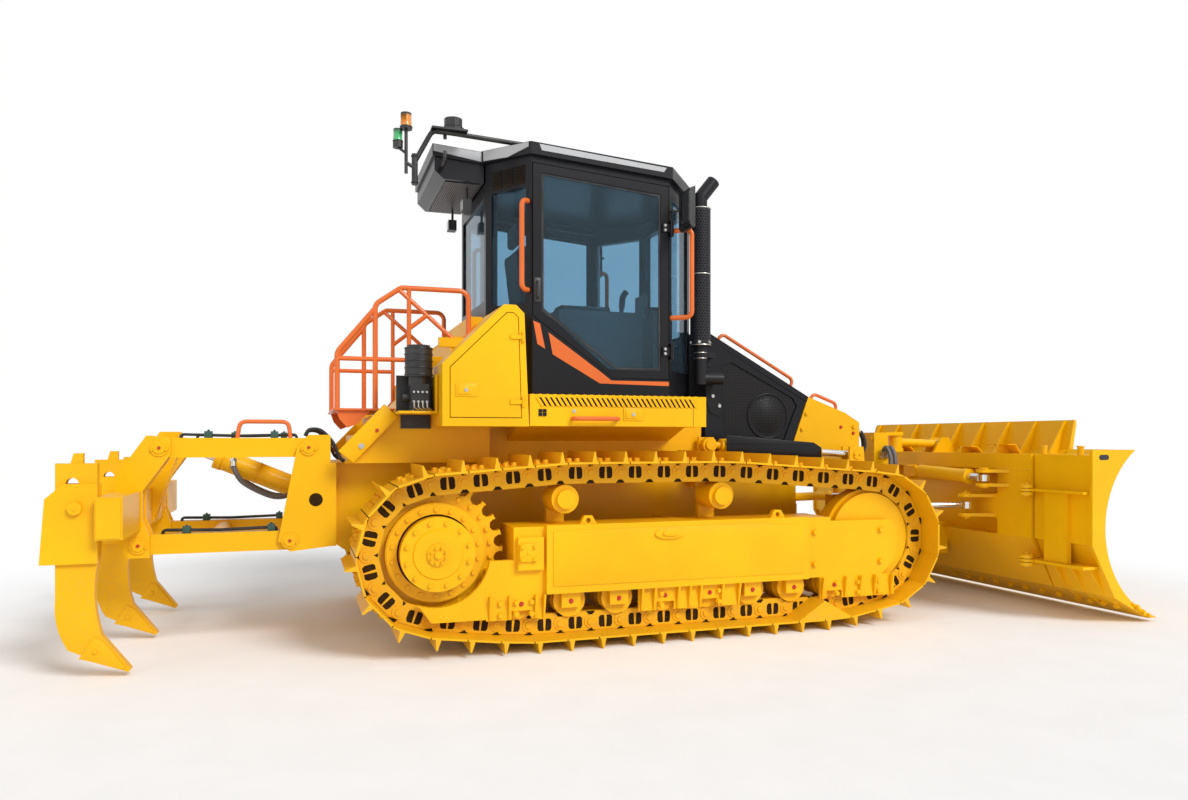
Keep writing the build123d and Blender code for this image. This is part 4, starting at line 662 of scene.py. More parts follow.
# ---------------------------------------------------------------- grease pump
# An automatic greaser in a black moulded case, with a ribbed plastic tank and plated unions.
# It is bolted to an angle bracket beside the steps; four short bent pipes leave its unions.
pump_plastic = plastic("pump_plastic", (0.012, 0.012, 0.013), 0.35)
dress(pump_plastic, "grease_pump")
tank, unions, bracket = bmesh.new(), bmesh.new(), bmesh.new()
pump = Vector((-1.553, -0.856, 0))
for z in (1.700, 1.742, 1.784, 1.826, 1.862):
    ring(tank, pump + Vector((0, 0, z)), (0, 0, 1), 0.085, 0.004, 36)
box(bracket, (-1.682, -1.448), (-0.948, -0.652), (1.458, 1.474))
box(bracket, (-1.462, -1.448), (-0.948, -0.740), (1.458, 1.700))
for x in (-1.60, -1.50):
    bolt(bracket, (x, -0.948, 1.466), (0, -1, 0), 0.016, 0.008)
for i in range(4):
    x = -1.592 + i * 0.026
    disc(unions, (x, -0.926, 1.530), (0, -1, 0), 0.008, 0.020, 8)
    tube(unions, arc_points(((x, -0.944, 1.530), (x, -0.958, 1.530), (x, -0.958, 1.492),
                             (x + 0.03, -0.940, 1.480)), 0.012, 4), 0.004, 6)
    disc(unions, (x, -0.926, 1.590), (0, -1, 0), 0.007, 0.016, 8)
softened(bracket, 0.002)
finished(tank, "grease_tank_rings", pump_plastic, "chassis")
finished(bracket, "pump_bracket", yellow)
finished(unions, "pump_unions", zinc, "chassis")


# ---------------------------------------------------------------- exhaust stack
# A seamless tube inside a perforated heat guard, hung on one bracket from the hood's side.
# The guard is punched sheet rolled to a cylinder, closed by a bolted rim at its foot.
stack_x, stack_y = 0.515, -0.560
stack_paint = painted("stack_paint", (0.014, 0.014, 0.017), 0.38, 0.0, 0.0, 0.04)
dress(stack_paint, "exhaust_stack")
material, shade, place = new_material("heat_guard")
x, y, z = part(place, 0) - stack_x, part(place, 1) - stack_y, part(place, 2)
holes_per_metre, holes_around = 1 / 0.020, 22.0
row = (z * holes_per_metre).math("FLOOR")
turn = y.math("ARCTAN2", x) * (1 / (2 * pi)) + 1.0
around = (turn * holes_around + row * 0.5).math("FRACT") - 0.5
rise = (z * holes_per_metre).math("FRACT") - 0.5
# the holes are painted near-black as the shade inside the guard
hole = 1.0 - (around * around + rise * rise).math("SQRT").step(0.26, 0.33)
hole = hole * (z > 2.020) * (z < 2.960)
principled(shade, {
    "Base Color": hole.mix((0.020, 0.020, 0.026, 1), (0.001, 0.001, 0.001, 1)),
    "Specular IOR Level": 0.3, "Roughness": 0.38 + hole * 0.4,
    "Normal": bump(1.0 - hole, 0.002)})
guard, clamps = bmesh.new(), bmesh.new()
made = bmesh.ops.create_cone(guard, cap_ends=False, segments=64, radius1=0.0735, radius2=0.0735,
                             depth=1.000, matrix=Matrix.Translation((stack_x, stack_y, 2.483)))
bmesh.ops.solidify(guard, geom=guard.faces[:], thickness=-0.001)
for z, radius in ((1.986, 0.0745), (2.978, 0.0745), (2.500, 0.0745)):
    ring(clamps, (stack_x, stack_y, z), (0, 0, 1), radius, 0.005, 48)
for i in range(4):
    angle = -pi / 2 + pi / 3 * (i - 1.5)
    bolt(clamps, (stack_x + 0.074 * cos(angle), stack_y + 0.074 * sin(angle), 2.005),
         (cos(angle), sin(angle), 0), 0.016, 0.008)
for z in (1.890, 1.930):
    ring(clamps, (stack_x, stack_y, z), (0, 0, 1), 0.047, 0.004, 40)
finished(guard, "heat_guard", material, "chassis")
finished(clamps, "stack_clamps", zinc, "chassis")


# ---------------------------------------------------------------- cab
# A welded roll cage clad in sheet, in gloss near-black, with two orange flashes on each wall.
# Glass is bonded into rubber, doors hang on outside hinges, and the roof has grey fascias.
dress(black, "cab_frame", "door_right", "door_left", "air_conditioner")
roof_grey = painted("roof_grey_paint", (0.50, 0.51, 0.52), 0.40, 0.1, 0.0, 0.05)
dress(black, "cab_roof")
cab_side, door_side_y = 0.800, 0.814


def roof_at(x):
    """The underside of the cab roof."""
    return 3.190 - 0.070 * (x + 1.240)


flashes, seals, fascia, handles, hinge_bolts, vents, vent_hole_shade = (bmesh.new() for i in range(7))
seal = 0.016
for side in (-1, 1):
    for outline in (((-0.777, 1.926), (-0.724, 1.895), (-0.760, 2.060), (-0.805, 2.077)),
                    ((-0.673, 1.861), (-0.343, 1.676), (0.160, 1.668), (0.160, 1.697),
                     (-0.262, 1.697), (-0.343, 1.757), (-0.701, 2.004))):
        slab(flashes, outline, *off(side, cab_side, 0, 0.0015))
    inner = ((0.101, 1.772), (0.101, roof_at(0.163) - 0.107), (-0.749, roof_at(-0.811) - 0.107),
             (-0.749, 2.147), (-0.225, 1.772))
    outer = [(x + (seal if x < -0.2 else -seal) * (abs(x + 0.225) > 0.01),
              z + (seal if z < 2.4 else -seal)) for x, z in inner]
    rim = [[seals.verts.new((x, side * (cab_side - 0.006), z)) for x, z in outline]
           for outline in (inner, outer)]
    for i in range(5):
        seals.faces.new((rim[0][i], rim[0][i - 1], rim[1][i - 1], rim[1][i]))
    box(handles, (-0.800, -0.755), off(side, cab_side, 0, 0.006), (2.200, 2.360))
    foot, grip = off(side, cab_side, 0, 0.028)
    tube(handles, arc_points(((-0.778, foot, 2.225), (-0.778, grip, 2.225), (-0.778, grip, 2.335),
                              (-0.778, foot, 2.335)), 0.015, 4), 0.007, 8)
    for z in (1.905, 2.755):
        for step in (-0.016, 0.016):
            bolt(hinge_bolts, (0.128, side * door_side_y, z + step), (0, side, 0), 0.015, 0.007)
    slab(fascia, ((-0.770, roof_at(-0.77) + 0.070), (0.130, roof_at(0.13) + 0.066),
                  (0.110, roof_at(0.11) + 0.034), (-0.755, roof_at(-0.755) + 0.030)),
         side * 0.8295, side * 0.8340)
    slab(fascia, ((-1.405, roof_at(-1.405) + 0.076), (-1.065, roof_at(-1.065) + 0.076),
                  (-1.065, roof_at(-1.065) + 0.010), (-1.405, roof_at(-1.405) + 0.030)),
         side * 0.4605, side * 0.4650)
    corner = [Vector((-1.068, side * 0.484, 0)), Vector((-0.838, side * 0.812, 0))]
    push = Vector((corner[0].y - corner[1].y, corner[1].x - corner[0].x, 0)).normalized() * side
    verts = []
    for lift in (0.0015, 0.0060):
        for share, low, high in ((0.0, 0.010, 0.076), (0.55, 0.004, 0.076), (1.0, 0.046, 0.074)):
            place = corner[0].lerp(corner[1], share) + push * lift
            verts += [fascia.verts.new(place + Vector((0, 0, roof_at(place.x) + low))),
                      fascia.verts.new(place + Vector((0, 0, roof_at(place.x) + high)))]
    for k in (0, 2):
        fascia.faces.new((verts[6 + k], verts[7 + k], verts[9 + k], verts[8 + k]))
        fascia.faces.new((verts[k], verts[k + 2], verts[k + 3], verts[k + 1]))
        fascia.faces.new((verts[k], verts[6 + k], verts[8 + k], verts[k + 2]))
        fascia.faces.new((verts[k + 1], verts[k + 3], verts[9 + k], verts[7 + k]))
    fascia.faces.new((verts[0], verts[1], verts[7], verts[6]))
    fascia.faces.new((verts[4], verts[10], verts[11], verts[5]))
    start, end = Vector((-1.050, side * 0.460, 0)), Vector((-0.811, side * 0.800, 0))
    along = (end - start).normalized()
    out = Vector((-along.y, along.x, 0)) * (1 if side > 0 else -1)
    for column in range(3):
        for i in range(6):
            middle = start + along * (0.110 + 0.100 * column) + out * 0.001
            z = 2.995 + 0.020 * i
            corners = [middle + along * a + Vector((0, 0, z + b)) + out * c
                       for a, b, c in ((-0.042, 0, 0), (0.042, 0, 0), (0.042, 0.010, 0.010),
                                       (-0.042, 0.010, 0.010), (-0.042, 0.013, 0),
                                       (0.042, 0.013, 0))]
            verts = [vents.verts.new(corner) for corner in corners]
            for face in ((0, 1, 2, 3), (3, 2, 5, 4), (0, 3, 4), (1, 5, 2), (0, 4, 5, 1)):
                vents.faces.new([verts[k] for k in face])
            # a thin near-black box behind each louvre is painted shade in its opening
            hole = [vent_hole_shade.verts.new(middle + along * a + Vector((0, 0, z + b)) + out * c)
                    for c in (-0.0005, 0.0008)
                    for a, b in ((-0.042, -0.008), (0.042, -0.008), (0.042, 0.0), (-0.042, 0.0))]
            for face in ((0, 1, 2, 3), (7, 6, 5, 4), (0, 4, 5, 1), (1, 5, 6, 2), (2, 6, 7, 3),
                         (3, 7, 4, 0)):
                vent_hole_shade.faces.new([hole[k] for k in face])
softened(handles, 0.003, 2, 60.0)
bmesh.ops.recalc_face_normals(seals, faces=seals.faces)
bmesh.ops.solidify(seals, geom=seals.faces[:], thickness=0.003)
rubber = plastic("rubber", (0.010, 0.010, 0.010), 0.62, 600.0)
finished(flashes, "cab_flashes", orange, "chassis")
finished(seals, "door_seals", rubber, "chassis")
finished(handles, "door_handles", pump_plastic, "chassis")
finished(hinge_bolts, "hinge_bolts", zinc, "chassis")
finished(fascia, "roof_fascia", roof_grey, "chassis")
finished(vents, "rear_corner_vents", satin, "chassis")
finished(vent_hole_shade, "vent_slot_shade", painted_gap_shade, "chassis")

# the punched intake under the air conditioner
intake_mesh = perforated("intake_mesh", (0.16, 0.16, 0.17), 0.014, (0, 1))
intake = bmesh.new()
box(intake, (-1.315, -1.080), (-0.400, 0.400), (3.049, 3.055))
finished(intake, "intake_grille", intake_mesh, "chassis")


# ---------------------------------------------------------------- glass
# Lightly tinted safety glass in flat panes, let into the cab's frames and into the doors.
# The tint is a cool blue that varies a little across each pane; the surface is polished.
material, shade, place = new_material("tinted_glass")
ripple = noise(place, 2.2, 1.0)
grime = noise(place, 14.0, 6.0)
principled(shade, {
    "Base Color": ripple.mix((0.36, 0.55, 0.68, 1), (0.42, 0.60, 0.72, 1)),
    "Roughness": grime.step(0.6, 0.9) * 0.02, "Transmission Weight": 0.96, "IOR": 1.18})
dress(material, "cab_glass", "door_glass_right", "door_glass_left")


# ---------------------------------------------------------------- lamps, mirrors and beacons
# Moulded black housings on bent tube; the lamps have ribbed lenses that glow faintly.
# The mirrors are silvered glass let into them, and the two beacons are amber and green domes.
dress(pump_plastic, "lamps_and_mirrors")


def lens(name, colour, glow):
    """Ribbed plastic with a faint glow behind it: level ribs under a clear coat."""
    material, shade, place = new_material(name)
    ribs = shade.node("ShaderNodeTexWave", {"wave_type": "BANDS", "bands_direction": "Z"},
                      {"Vector": place, "Scale": 45.0, "Distortion": 0.0})
    cloud = noise(place, 60.0)
    principled(shade, {
        "Base Color": ribs.mix(tone(colour, 0.7), tone(colour)),
        "Roughness": 0.10 + cloud * 0.08, "Emission Color": ribs.mix((0, 0, 0, 1), tone(colour)),
        "Emission Strength": glow, "Coat Weight": 1.0 - cloud * 0.2,
        "Normal": bump(ribs, 0.001)})
    return material


clear_lens = lens("clear_lens", (0.72, 0.76, 0.80), 0.05)
amber_lens = lens("amber_lens", (0.95, 0.30, 0.01), 0.12)
green_lens = lens("green_lens", (0.05, 0.50, 0.16), 0.12)
faces, bezels, ambers, greens, mirrors = (bmesh.new() for i in range(5))
front_z = roof_at(0.530) + 0.040
for side in (-1, 1):
    for y in (0.180, 0.330):
        disc(faces, (0.592, side * y, front_z), (1, 0, 0), 0.031, 0.004, 32, 0.9)
        ring(bezels, (0.592, side * y, front_z), (1, 0, 0), 0.033, 0.003, 32)
    box(faces, (-1.189, -1.185), (side * 0.300 - 0.036, side * 0.300 + 0.036), (2.891, 2.956))
    box(mirrors, (0.208, 0.212), (side * 0.940 - 0.080, side * 0.940 + 0.080), (2.760, 2.965))
for mesh, place, radius, height, taper in (
        (ambers, (-1.600, -0.600, 3.316), 0.0355, 0.078, 0.98),
        (ambers, (-1.600, -0.600, 3.394), 0.0348, 0.016, 0.55),
        (greens, (-1.650, -0.580, 3.227), 0.0295, 0.070, 0.98),
        (greens, (-1.650, -0.580, 3.297), 0.0289, 0.010, 0.55)):
    disc(mesh, place, (0, 0, 1), radius, height, 40, taper)
for place, radius, section, segments in (
        ((-1.290, -0.570, 3.352), 0.062, 0.003, 40), ((-1.290, -0.570, 3.358), 0.062, 0.003, 40),
        ((-1.600, -0.600, 3.319), 0.037, 0.004, 36), ((-1.650, -0.580, 3.228), 0.030, 0.004, 36),
        ((-1.545, -0.600, 2.965), 0.021, 0.004, 28), ((-1.545, -0.600, 3.135), 0.021, 0.004, 28)):
    ring(bezels, place, (0, 0, 1), radius, section, segments)
finished(faces, "lamp_lenses", clear_lens, "chassis")
finished(bezels, "lamp_bezels", rubber, "chassis")
finished(ambers, "amber_dome", amber_lens, "chassis")
finished(greens, "green_dome", green_lens, "chassis")
silver = metal("mirror_glass", (0.80, 0.82, 0.84), 0.03, 40.0)
finished(mirrors, "mirror_glass", silver, "chassis")


# ---------------------------------------------------------------- seat
# Foam cushions under dark cloth, sewn in panels, on a moulded suspension base.
# Each pad is blown up as cloth from a slightly smaller block, then its seams are pulled in.
def centre_of(corners):
    """The middle of some corners."""
    return sum((Vector(corner) for corner in corners), Vector()) / len(corners)


def crowned(name, corners, swell, seams, clip):
    """A cushion from eight corners: swollen by cloth pressure, then sewn across."""
    mesh = bmesh.new()
    verts = [mesh.verts.new(corner) for corner in corners]
    for face in ((0, 3, 2, 1), (4, 5, 6, 7), (0, 1, 5, 4), (1, 2, 6, 5), (2, 3, 7, 6),
                 (3, 0, 4, 7)):
        mesh.faces.new([verts[k] for k in face])
    softened(mesh, 0.030, 4, 30.0)
    bmesh.ops.recalc_face_normals(mesh, faces=mesh.faces)
    made = bpy.data.meshes.new(name)
    mesh.to_mesh(made)
    mesh.free()
    piece = bpy.data.objects.new(name, made)
    bpy.context.scene.collection.objects.link(piece)
    even = piece.modifiers.new("even", "REMESH")
    even.mode, even.voxel_size = "VOXEL", 0.006
    settled = bpy.data.meshes.new_from_object(
        piece.evaluated_get(bpy.context.evaluated_depsgraph_get()))
    piece.modifiers.clear()
    piece.data = settled
    before = [vert.co.copy() for vert in settled.vertices]
    cloth = piece.modifiers.new("cloth", "CLOTH")
    cloth.settings.use_pressure = True
    cloth.settings.uniform_pressure_force = 4.0
    cloth.settings.effector_weights.gravity = 0.0
    cloth.settings.mass = 0.3
    for number in range(1, 21):
        bpy.context.scene.frame_set(number)
    blown = bpy.data.meshes.new_from_object(
        piece.evaluated_get(bpy.context.evaluated_depsgraph_get()))
    piece.modifiers.clear()
    piece.data = blown
    bpy.context.scene.frame_set(1)
    low = [min(corner[k] for corner in corners) - clip for k in range(3)]
    high = [max(corner[k] for corner in corners) + clip for k in range(3)]
    middle = centre_of(corners)
    for vert, rest in zip(piece.data.vertices, before):
        moved = vert.co - rest
        if moved.length > swell:
            moved *= swell / moved.length
        for axis, place, width, depth in seams:
            away = (rest[axis] - place) / width
            moved -= (rest - middle).normalized() * depth * 2 ** (-away * away)
        vert.co = [min(max(value, a), b) for value, a, b in zip(rest + moved, low, high)]
    for polygon in piece.data.polygons:
        polygon.use_smooth = True
    smooth = piece.modifiers.new("smooth", "SUBSURF")
    smooth.levels = smooth.render_levels = 1
    return piece


material, shade, place = new_material("seat_cloth")
weave = [shade.node("ShaderNodeTexWave", {"wave_type": "BANDS", "bands_direction": way},
                    {"Vector": place, "Scale": 140.0, "Distortion": 0.6}) for way in ("Y", "Z")]
thread = weave[0] * weave[1]
wear = noise(place, 6.0, 4.0)
principled(shade, {
    "Base Color": (thread * 0.6 + wear * 0.4).mix(
        (0.020, 0.020, 0.022, 1), (0.065, 0.066, 0.070, 1)),
    "Roughness": 0.85 - wear * 0.10, "Sheen Weight": 0.3, "Sheen Roughness": 0.4,
    "Normal": bump(thread, 0.0008)})
# name, half width, the foot's rear and front edges (x, z), the top's, and the seams
pads = (("seat_cushion", 0.245, ((-0.665, 2.035), (-0.155, 2.035)),
         ((-0.665, 2.125), (-0.155, 2.125)),
         ((1, -0.150, 0.012, 0.010), (1, 0.150, 0.012, 0.010), (0, -0.300, 0.012, 0.008))),
        ("seat_back", 0.235, ((-0.705, 2.150), (-0.590, 2.165)), ((-0.765, 2.705), (-0.675, 2.705)),
         ((1, -0.140, 0.012, 0.010), (1, 0.140, 0.012, 0.010), (2, 2.360, 0.012, 0.008),
          (2, 2.530, 0.012, 0.008))),
        ("head_rest", 0.128, ((-0.768, 2.725), (-0.705, 2.725)),
         ((-0.768, 2.885), (-0.710, 2.885)), ((2, 2.805, 0.012, 0.006),)))
cushions = []
for name, half, foot, top, seams in pads:
    corners = [(x, y * half, z) for rear, front in (foot, top)
               for (x, z), y in ((rear, -1), (front, -1), (front, 1), (rear, 1))]
    pad = crowned(name, corners, 0.014, seams, 0.012)
    pad.data.materials.append(material)
    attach(pad, "chassis")
    cushions.append(pad)
base, stitching = bmesh.new(), bmesh.new()
box(base, (-0.62, -0.18), (-0.17, 0.17), (1.640, 1.700))
for i in range(7):
    inset = 0.006 if i % 2 else 0.0
    box(base, (-0.60 + inset, -0.20 - inset), (-0.150 + inset, 0.150 - inset),
        (1.700 + 0.042 * i, 1.742 + 0.042 * i))
box(base, (-0.675, -0.145), (-0.250, 0.250), (1.996, 2.030))
slab(base, ((-0.690, 2.030), (-0.660, 2.030), (-0.715, 2.700), (-0.735, 2.700)), -0.20, 0.20)
softened(base, 0.006)
for y in (-0.150, 0.150):
    tube(stitching, ((-0.662, y, 2.131), (-0.400, y, 2.138), (-0.158, y, 2.131)), 0.0022, 6)
base = finished(base, "seat_base", plastic("grey_plastic", (0.045, 0.046, 0.048), 0.5), "chassis")
stitches = finished(stitching, "seat_piping", pump_plastic, "chassis")
for pad in cushions + [base, stitches]:
    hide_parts("seat")


# ---------------------------------------------------------------- controls
# Moulded grey consoles carry two joysticks and the arm rests; a plain block is the screen.
# The arm rests are rounded pads, and the consoles are plain shells with a fine grain.
dress(plastic("console_plastic", (0.085, 0.087, 0.090), 0.48), "consoles")
sticks, rests = bmesh.new(), bmesh.new()
for side in (-1, 1):
    box(rests, (-0.54, -0.17), (side * 0.445 - 0.085, side * 0.445 + 0.085), (2.195, 2.235))
    tube(sticks, ((-0.05, side * 0.42, 2.195), (-0.045, side * 0.42, 2.260)), 0.016, 16)
    tube(sticks, arc_points(((-0.045, side * 0.42, 2.250), (-0.040, side * 0.42, 2.330),
                             (-0.010, side * 0.42, 2.370)), 0.020, 4), 0.022, 16)
box(sticks, (0.22, 0.245), (-0.210, -0.010), (2.230, 2.400))
box(sticks, (0.26, 0.385), (-0.240, 0.240), (2.258, 2.300))
softened(rests, 0.014, 3)
finished(sticks, "joysticks", pump_plastic, "chassis")
finished(rests, "arm_rests", pump_plastic, "chassis")


# ---------------------------------------------------------------- C-frame and cylinders
# The push frame is welded box section; its cylinders are honed tube with chromed rods.
# Each lift pin is held by a bolted keeper, and narrow collars are welded round the barrels.
dress(yellow, "c_frame", "c_frame_brackets", "lift_barrels", "angle_right_barrel",
      "angle_left_barrel", "angle_right_yoke", "angle_left_yoke", "tilt_barrel", "pitch_link",
      "swivel")
chrome = metal("chrome_rod", (0.78, 0.78, 0.79), 0.10, 90.0)
dress(chrome, "lift_rods", "angle_right_rod", "angle_left_rod", "tilt_rod", "ripper_rod")


def keeper(mesh, bolts, x, y, z, side, radius=0.042):
    """A pin end under a round retainer plate with two bolts, on a face that looks along Y."""
    disc(mesh, (x, y, z), (0, side, 0), radius, 0.007, 32, 0.97)
    for way in (-1, 1):
        bolt(bolts, (x + way * radius * 0.62, y + side * 0.007, z), (0, side, 0), 0.014, 0.007)


def bands(mesh, base, eye, reaches, radius):
    """Narrow collars round a cylinder, at distances from its base pin."""
    start = Vector(base)
    unit = (Vector(eye) - start).normalized()
    for reach in reaches:
        ring(mesh, start + unit * reach, unit, radius, 0.005, 36)


keepers, keeper_bolts, frame_bolts = bmesh.new(), bmesh.new(), bmesh.new()
for side in (-1, 1):
    keeper(keepers, keeper_bolts, 1.810, side * 0.630, 1.185, side, 0.036)
    bolt(frame_bolts, (2.370, side * 0.060, 1.310), (-1, 0, 0), 0.024, 0.012)
    for z in (0.560, 0.700, 0.840):
        bolt(frame_bolts, (2.410, side * 0.090, z), (0, side, 0), 0.026, 0.012)
    for x in (2.230, 2.300, 2.420):
        bolt(frame_bolts, (x, side * 0.30, 0.540), (0, 0, 1), 0.026, 0.012)
finished(keepers, "lift_pin_keepers", yellow, "c_frame")
finished(keeper_bolts, "lift_keeper_bolts", yellow, "c_frame")
finished(frame_bolts, "c_frame_bolts", yellow, "c_frame")
lift_bands = bmesh.new()
for side in (-1, 1):
    bands(lift_bands, (0.577, side * 0.570, 1.262), (1.810, side * 0.570, 1.185),
          (0.130, 0.500, 0.840), 0.0500)
finished(lift_bands, "lift_barrel_bands", yellow, "lift_barrels")
shrouds = bmesh.new()
for side in (-1, 1):
    slab(shrouds, ((0.690, 1.330), (1.420, 1.278), (1.490, 1.240), (1.490, 1.165), (0.690, 1.190)),
         side * 0.632, side * 0.638)
    slab(shrouds, ((0.690, side * 0.600), (0.690, side * 0.638), (1.420, side * 0.638),
                   (1.420, side * 0.600)), 1.262, 1.268, "z")
softened(shrouds, 0.002)
finished(shrouds, "lift_barrel_shrouds", black, "lift_barrels")
for name, side in both_sides:
    ring_mesh = bmesh.new()
    bands(ring_mesh, (1.780, side * 0.524, 0.780), (2.784, side * 0.700, 0.780), (0.110, 0.560),
          0.0380)
    finished(ring_mesh, "angle_" + name + "_bands", yellow, "angle_" + name + "_barrel")


# ---------------------------------------------------------------- held hoses
# Pressure hose is rubber over wire, with steel braid where it is exposed, in crimped ends.
# Each run leaves the piece that carries it and goes back into it, so it rides on that piece.
material, shade, place = new_material("hose_braid")
cross = [shade.node("ShaderNodeTexWave", {"wave_type": "BANDS", "bands_direction": "DIAGONAL"},
                    {"Vector": shade.node("ShaderNodeMapping", {}, {
                        "Vector": place, "Rotation": (0.0, turn, 0.0)}), "Scale": 90.0})
         for turn in (0.5, 2.1)]
strand = cross[0].math("MAXIMUM", cross[1])
principled(shade, {
    "Base Color": strand.mix((0.045, 0.045, 0.048, 1), (0.20, 0.20, 0.21, 1)),
    "Metallic": strand * 0.4, "Roughness": 0.62 - strand * 0.2,
    "Normal": bump(strand, 0.001)})
braid = material


def hose(points, radius, name, material, body, crimps=True):
    """A hose along a smooth line through its points, with crimped steel ends."""
    line = []
    points = [Vector(point) for point in points]
    for i in range(len(points) - 1):
        a, b = points[max(i - 1, 0)], points[i]
        c, d = points[i + 1], points[min(i + 2, len(points) - 1)]
        for step in range(8):
            t = step / 8
            line.append(0.5 * (2 * b + (c - a) * t + (2 * a - 5 * b + 4 * c - d) * t * t
                               + (3 * b - a - 3 * c + d) * t ** 3))
    line.append(points[-1])
    mesh = bmesh.new()
    tube(mesh, line, radius, 12)
    finished(mesh, name, material, body, 60.0)
    if crimps:
        ends = bmesh.new()
        for here, there in ((line[0], line[2]), (line[-1], line[-3])):
            disc(ends, here, there - here, radius * 1.25, radius * 3.5, 16)
            disc(ends, here, there - here, radius * 1.5, radius * 1.2, 6)
        finished(ends, name + "_ends", zinc, body)


for word, side in both_sides:
    for number, x in enumerate((2.440, 2.485)):
        hose(((x, side * 0.090, 1.150), (x, side * 0.150, 1.235), (x, side * 0.215, 1.150),
              (x - 0.020, side * 0.235, 0.950), (x - 0.040, side * 0.225, 0.720),
              (x - 0.060, side * 0.215, 0.545)), 0.017,
             "tower_hose_" + word + "_" + str(number), braid, "c_frame")
for y in (-0.410, -0.385):
    hose(((1.945, y, 1.375), (2.005, y, 1.360), (2.040, y, 1.290), (2.030, y, 1.215),
          (1.945, y, 1.195)), 0.014, "nose_hose_" + str(round(-y * 1000)), rubber, "chassis")


# ---------------------------------------------------------------- blade
# A rolled wear-resistant sheet on a welded box back, with a folding wing at each end.
# Hardened edges are bolted along the foot; their bolt tails, nuts and welds show from behind.
dress(yellow, "blade", "blade_lugs", "blade_wing_right", "blade_wing_left")


def weld(mesh, start, end, radius=0.006):
    """A fillet weld: a low rough bead along an inside corner."""
    a, b = Vector(start), Vector(end)
    count = max(int((b - a).length / 0.05), 2)
    tube(mesh, [a.lerp(b, i / count) + Vector((0, 0, 0.0012 * (i % 2))) for i in range(count + 1)],
         radius, 6)


blade_bolts, blade_plates, beads, blade_pins = (bmesh.new() for i in range(4))
for i in range(15):
    y = -1.12 + 0.16 * i
    bolt(blade_bolts, (3.3005, y, 0.118), (-0.72, 0, -0.69), 0.040, 0.022)
for y in (-1.12, -0.84, -0.56, -0.28, 0, 0.28, 0.56, 0.84, 1.12):
    for way in (-1, 1):
        weld(beads, (3.195, y + way * 0.011, 1.193), (3.300, y + way * 0.011, 1.193), 0.005)
weld(beads, (2.947, -1.190, 1.070), (2.947, -0.865, 1.070))
weld(beads, (2.947, 0.865, 1.070), (2.947, 1.190, 1.070))
for side in (-1, 1):
    for low in (-1, 1):
        disc(blade_pins, (2.784, side * 0.700, 0.780 + low * 0.089), (0, 0, low), 0.038, 0.012, 32)
        bolt(blade_pins, (2.784, side * 0.700, 0.780 + low * 0.101), (0, 0, low), 0.022, 0.010)
    for z in (0.400, 0.925):
        for angle in range(6):
            turn = pi / 3 * angle
            bolt(blade_bolts, (2.892 + 0.034 * cos(turn), side * 1.200 + 0.034 * sin(turn),
                               z + 0.0405), (0, 0, 1), 0.012, 0.008)
        disc(blade_pins, (2.892, side * 1.200, z + 0.040), (0, 0, 1), 0.020, 0.016, 20, 0.9)
    slab(blade_plates, ((3.305, 1.225), (3.345, 1.225), (3.381, 1.430), (3.352, 1.430)),
         side * 1.195, side * 1.201)
for side in (-1, 1):
    box(blade_plates, (2.948, 2.982), (side * 0.870, side * 0.990), (0.575, 1.185))
    for y, tall in ((0.42, 0.055), (0.82, 0.075)):
        slab(blade_plates, ((2.965, 1.189), (3.110, 1.189), (3.060, 1.189 + tall),
                            (2.985, 1.189 + tall)), *off(side, y, -0.012, 0.012))
        slab(blade_plates, ((2.985, 1.189 + tall), (3.060, 1.189 + tall),
                            (3.110, 1.197), (3.104, 1.191), (3.056, 1.183 + tall),
                            (2.990, 1.183 + tall)), *off(side, y, -0.11, 0.11))
    for y in (0.20, 0.50, 0.80, 1.05):
        slab(blade_plates, ((3.310, 0.092), (3.160, 0.200), (3.060, 0.400), (3.085, 0.400)),
             *off(side, y, -0.008, 0.008))
for z in (0.931, 1.069):
    disc(blade_pins, (2.830, -0.840, z), (0, 0, 1 if z > 1 else -1), 0.036, 0.010, 28)
finished(blade_bolts, "blade_bolts", yellow, "blade")
finished(blade_plates, "guard_end_plates", yellow, "blade")
finished(beads, "blade_welds", yellow, "blade", 80.0)
finished(blade_pins, "blade_pins", yellow, "blade")
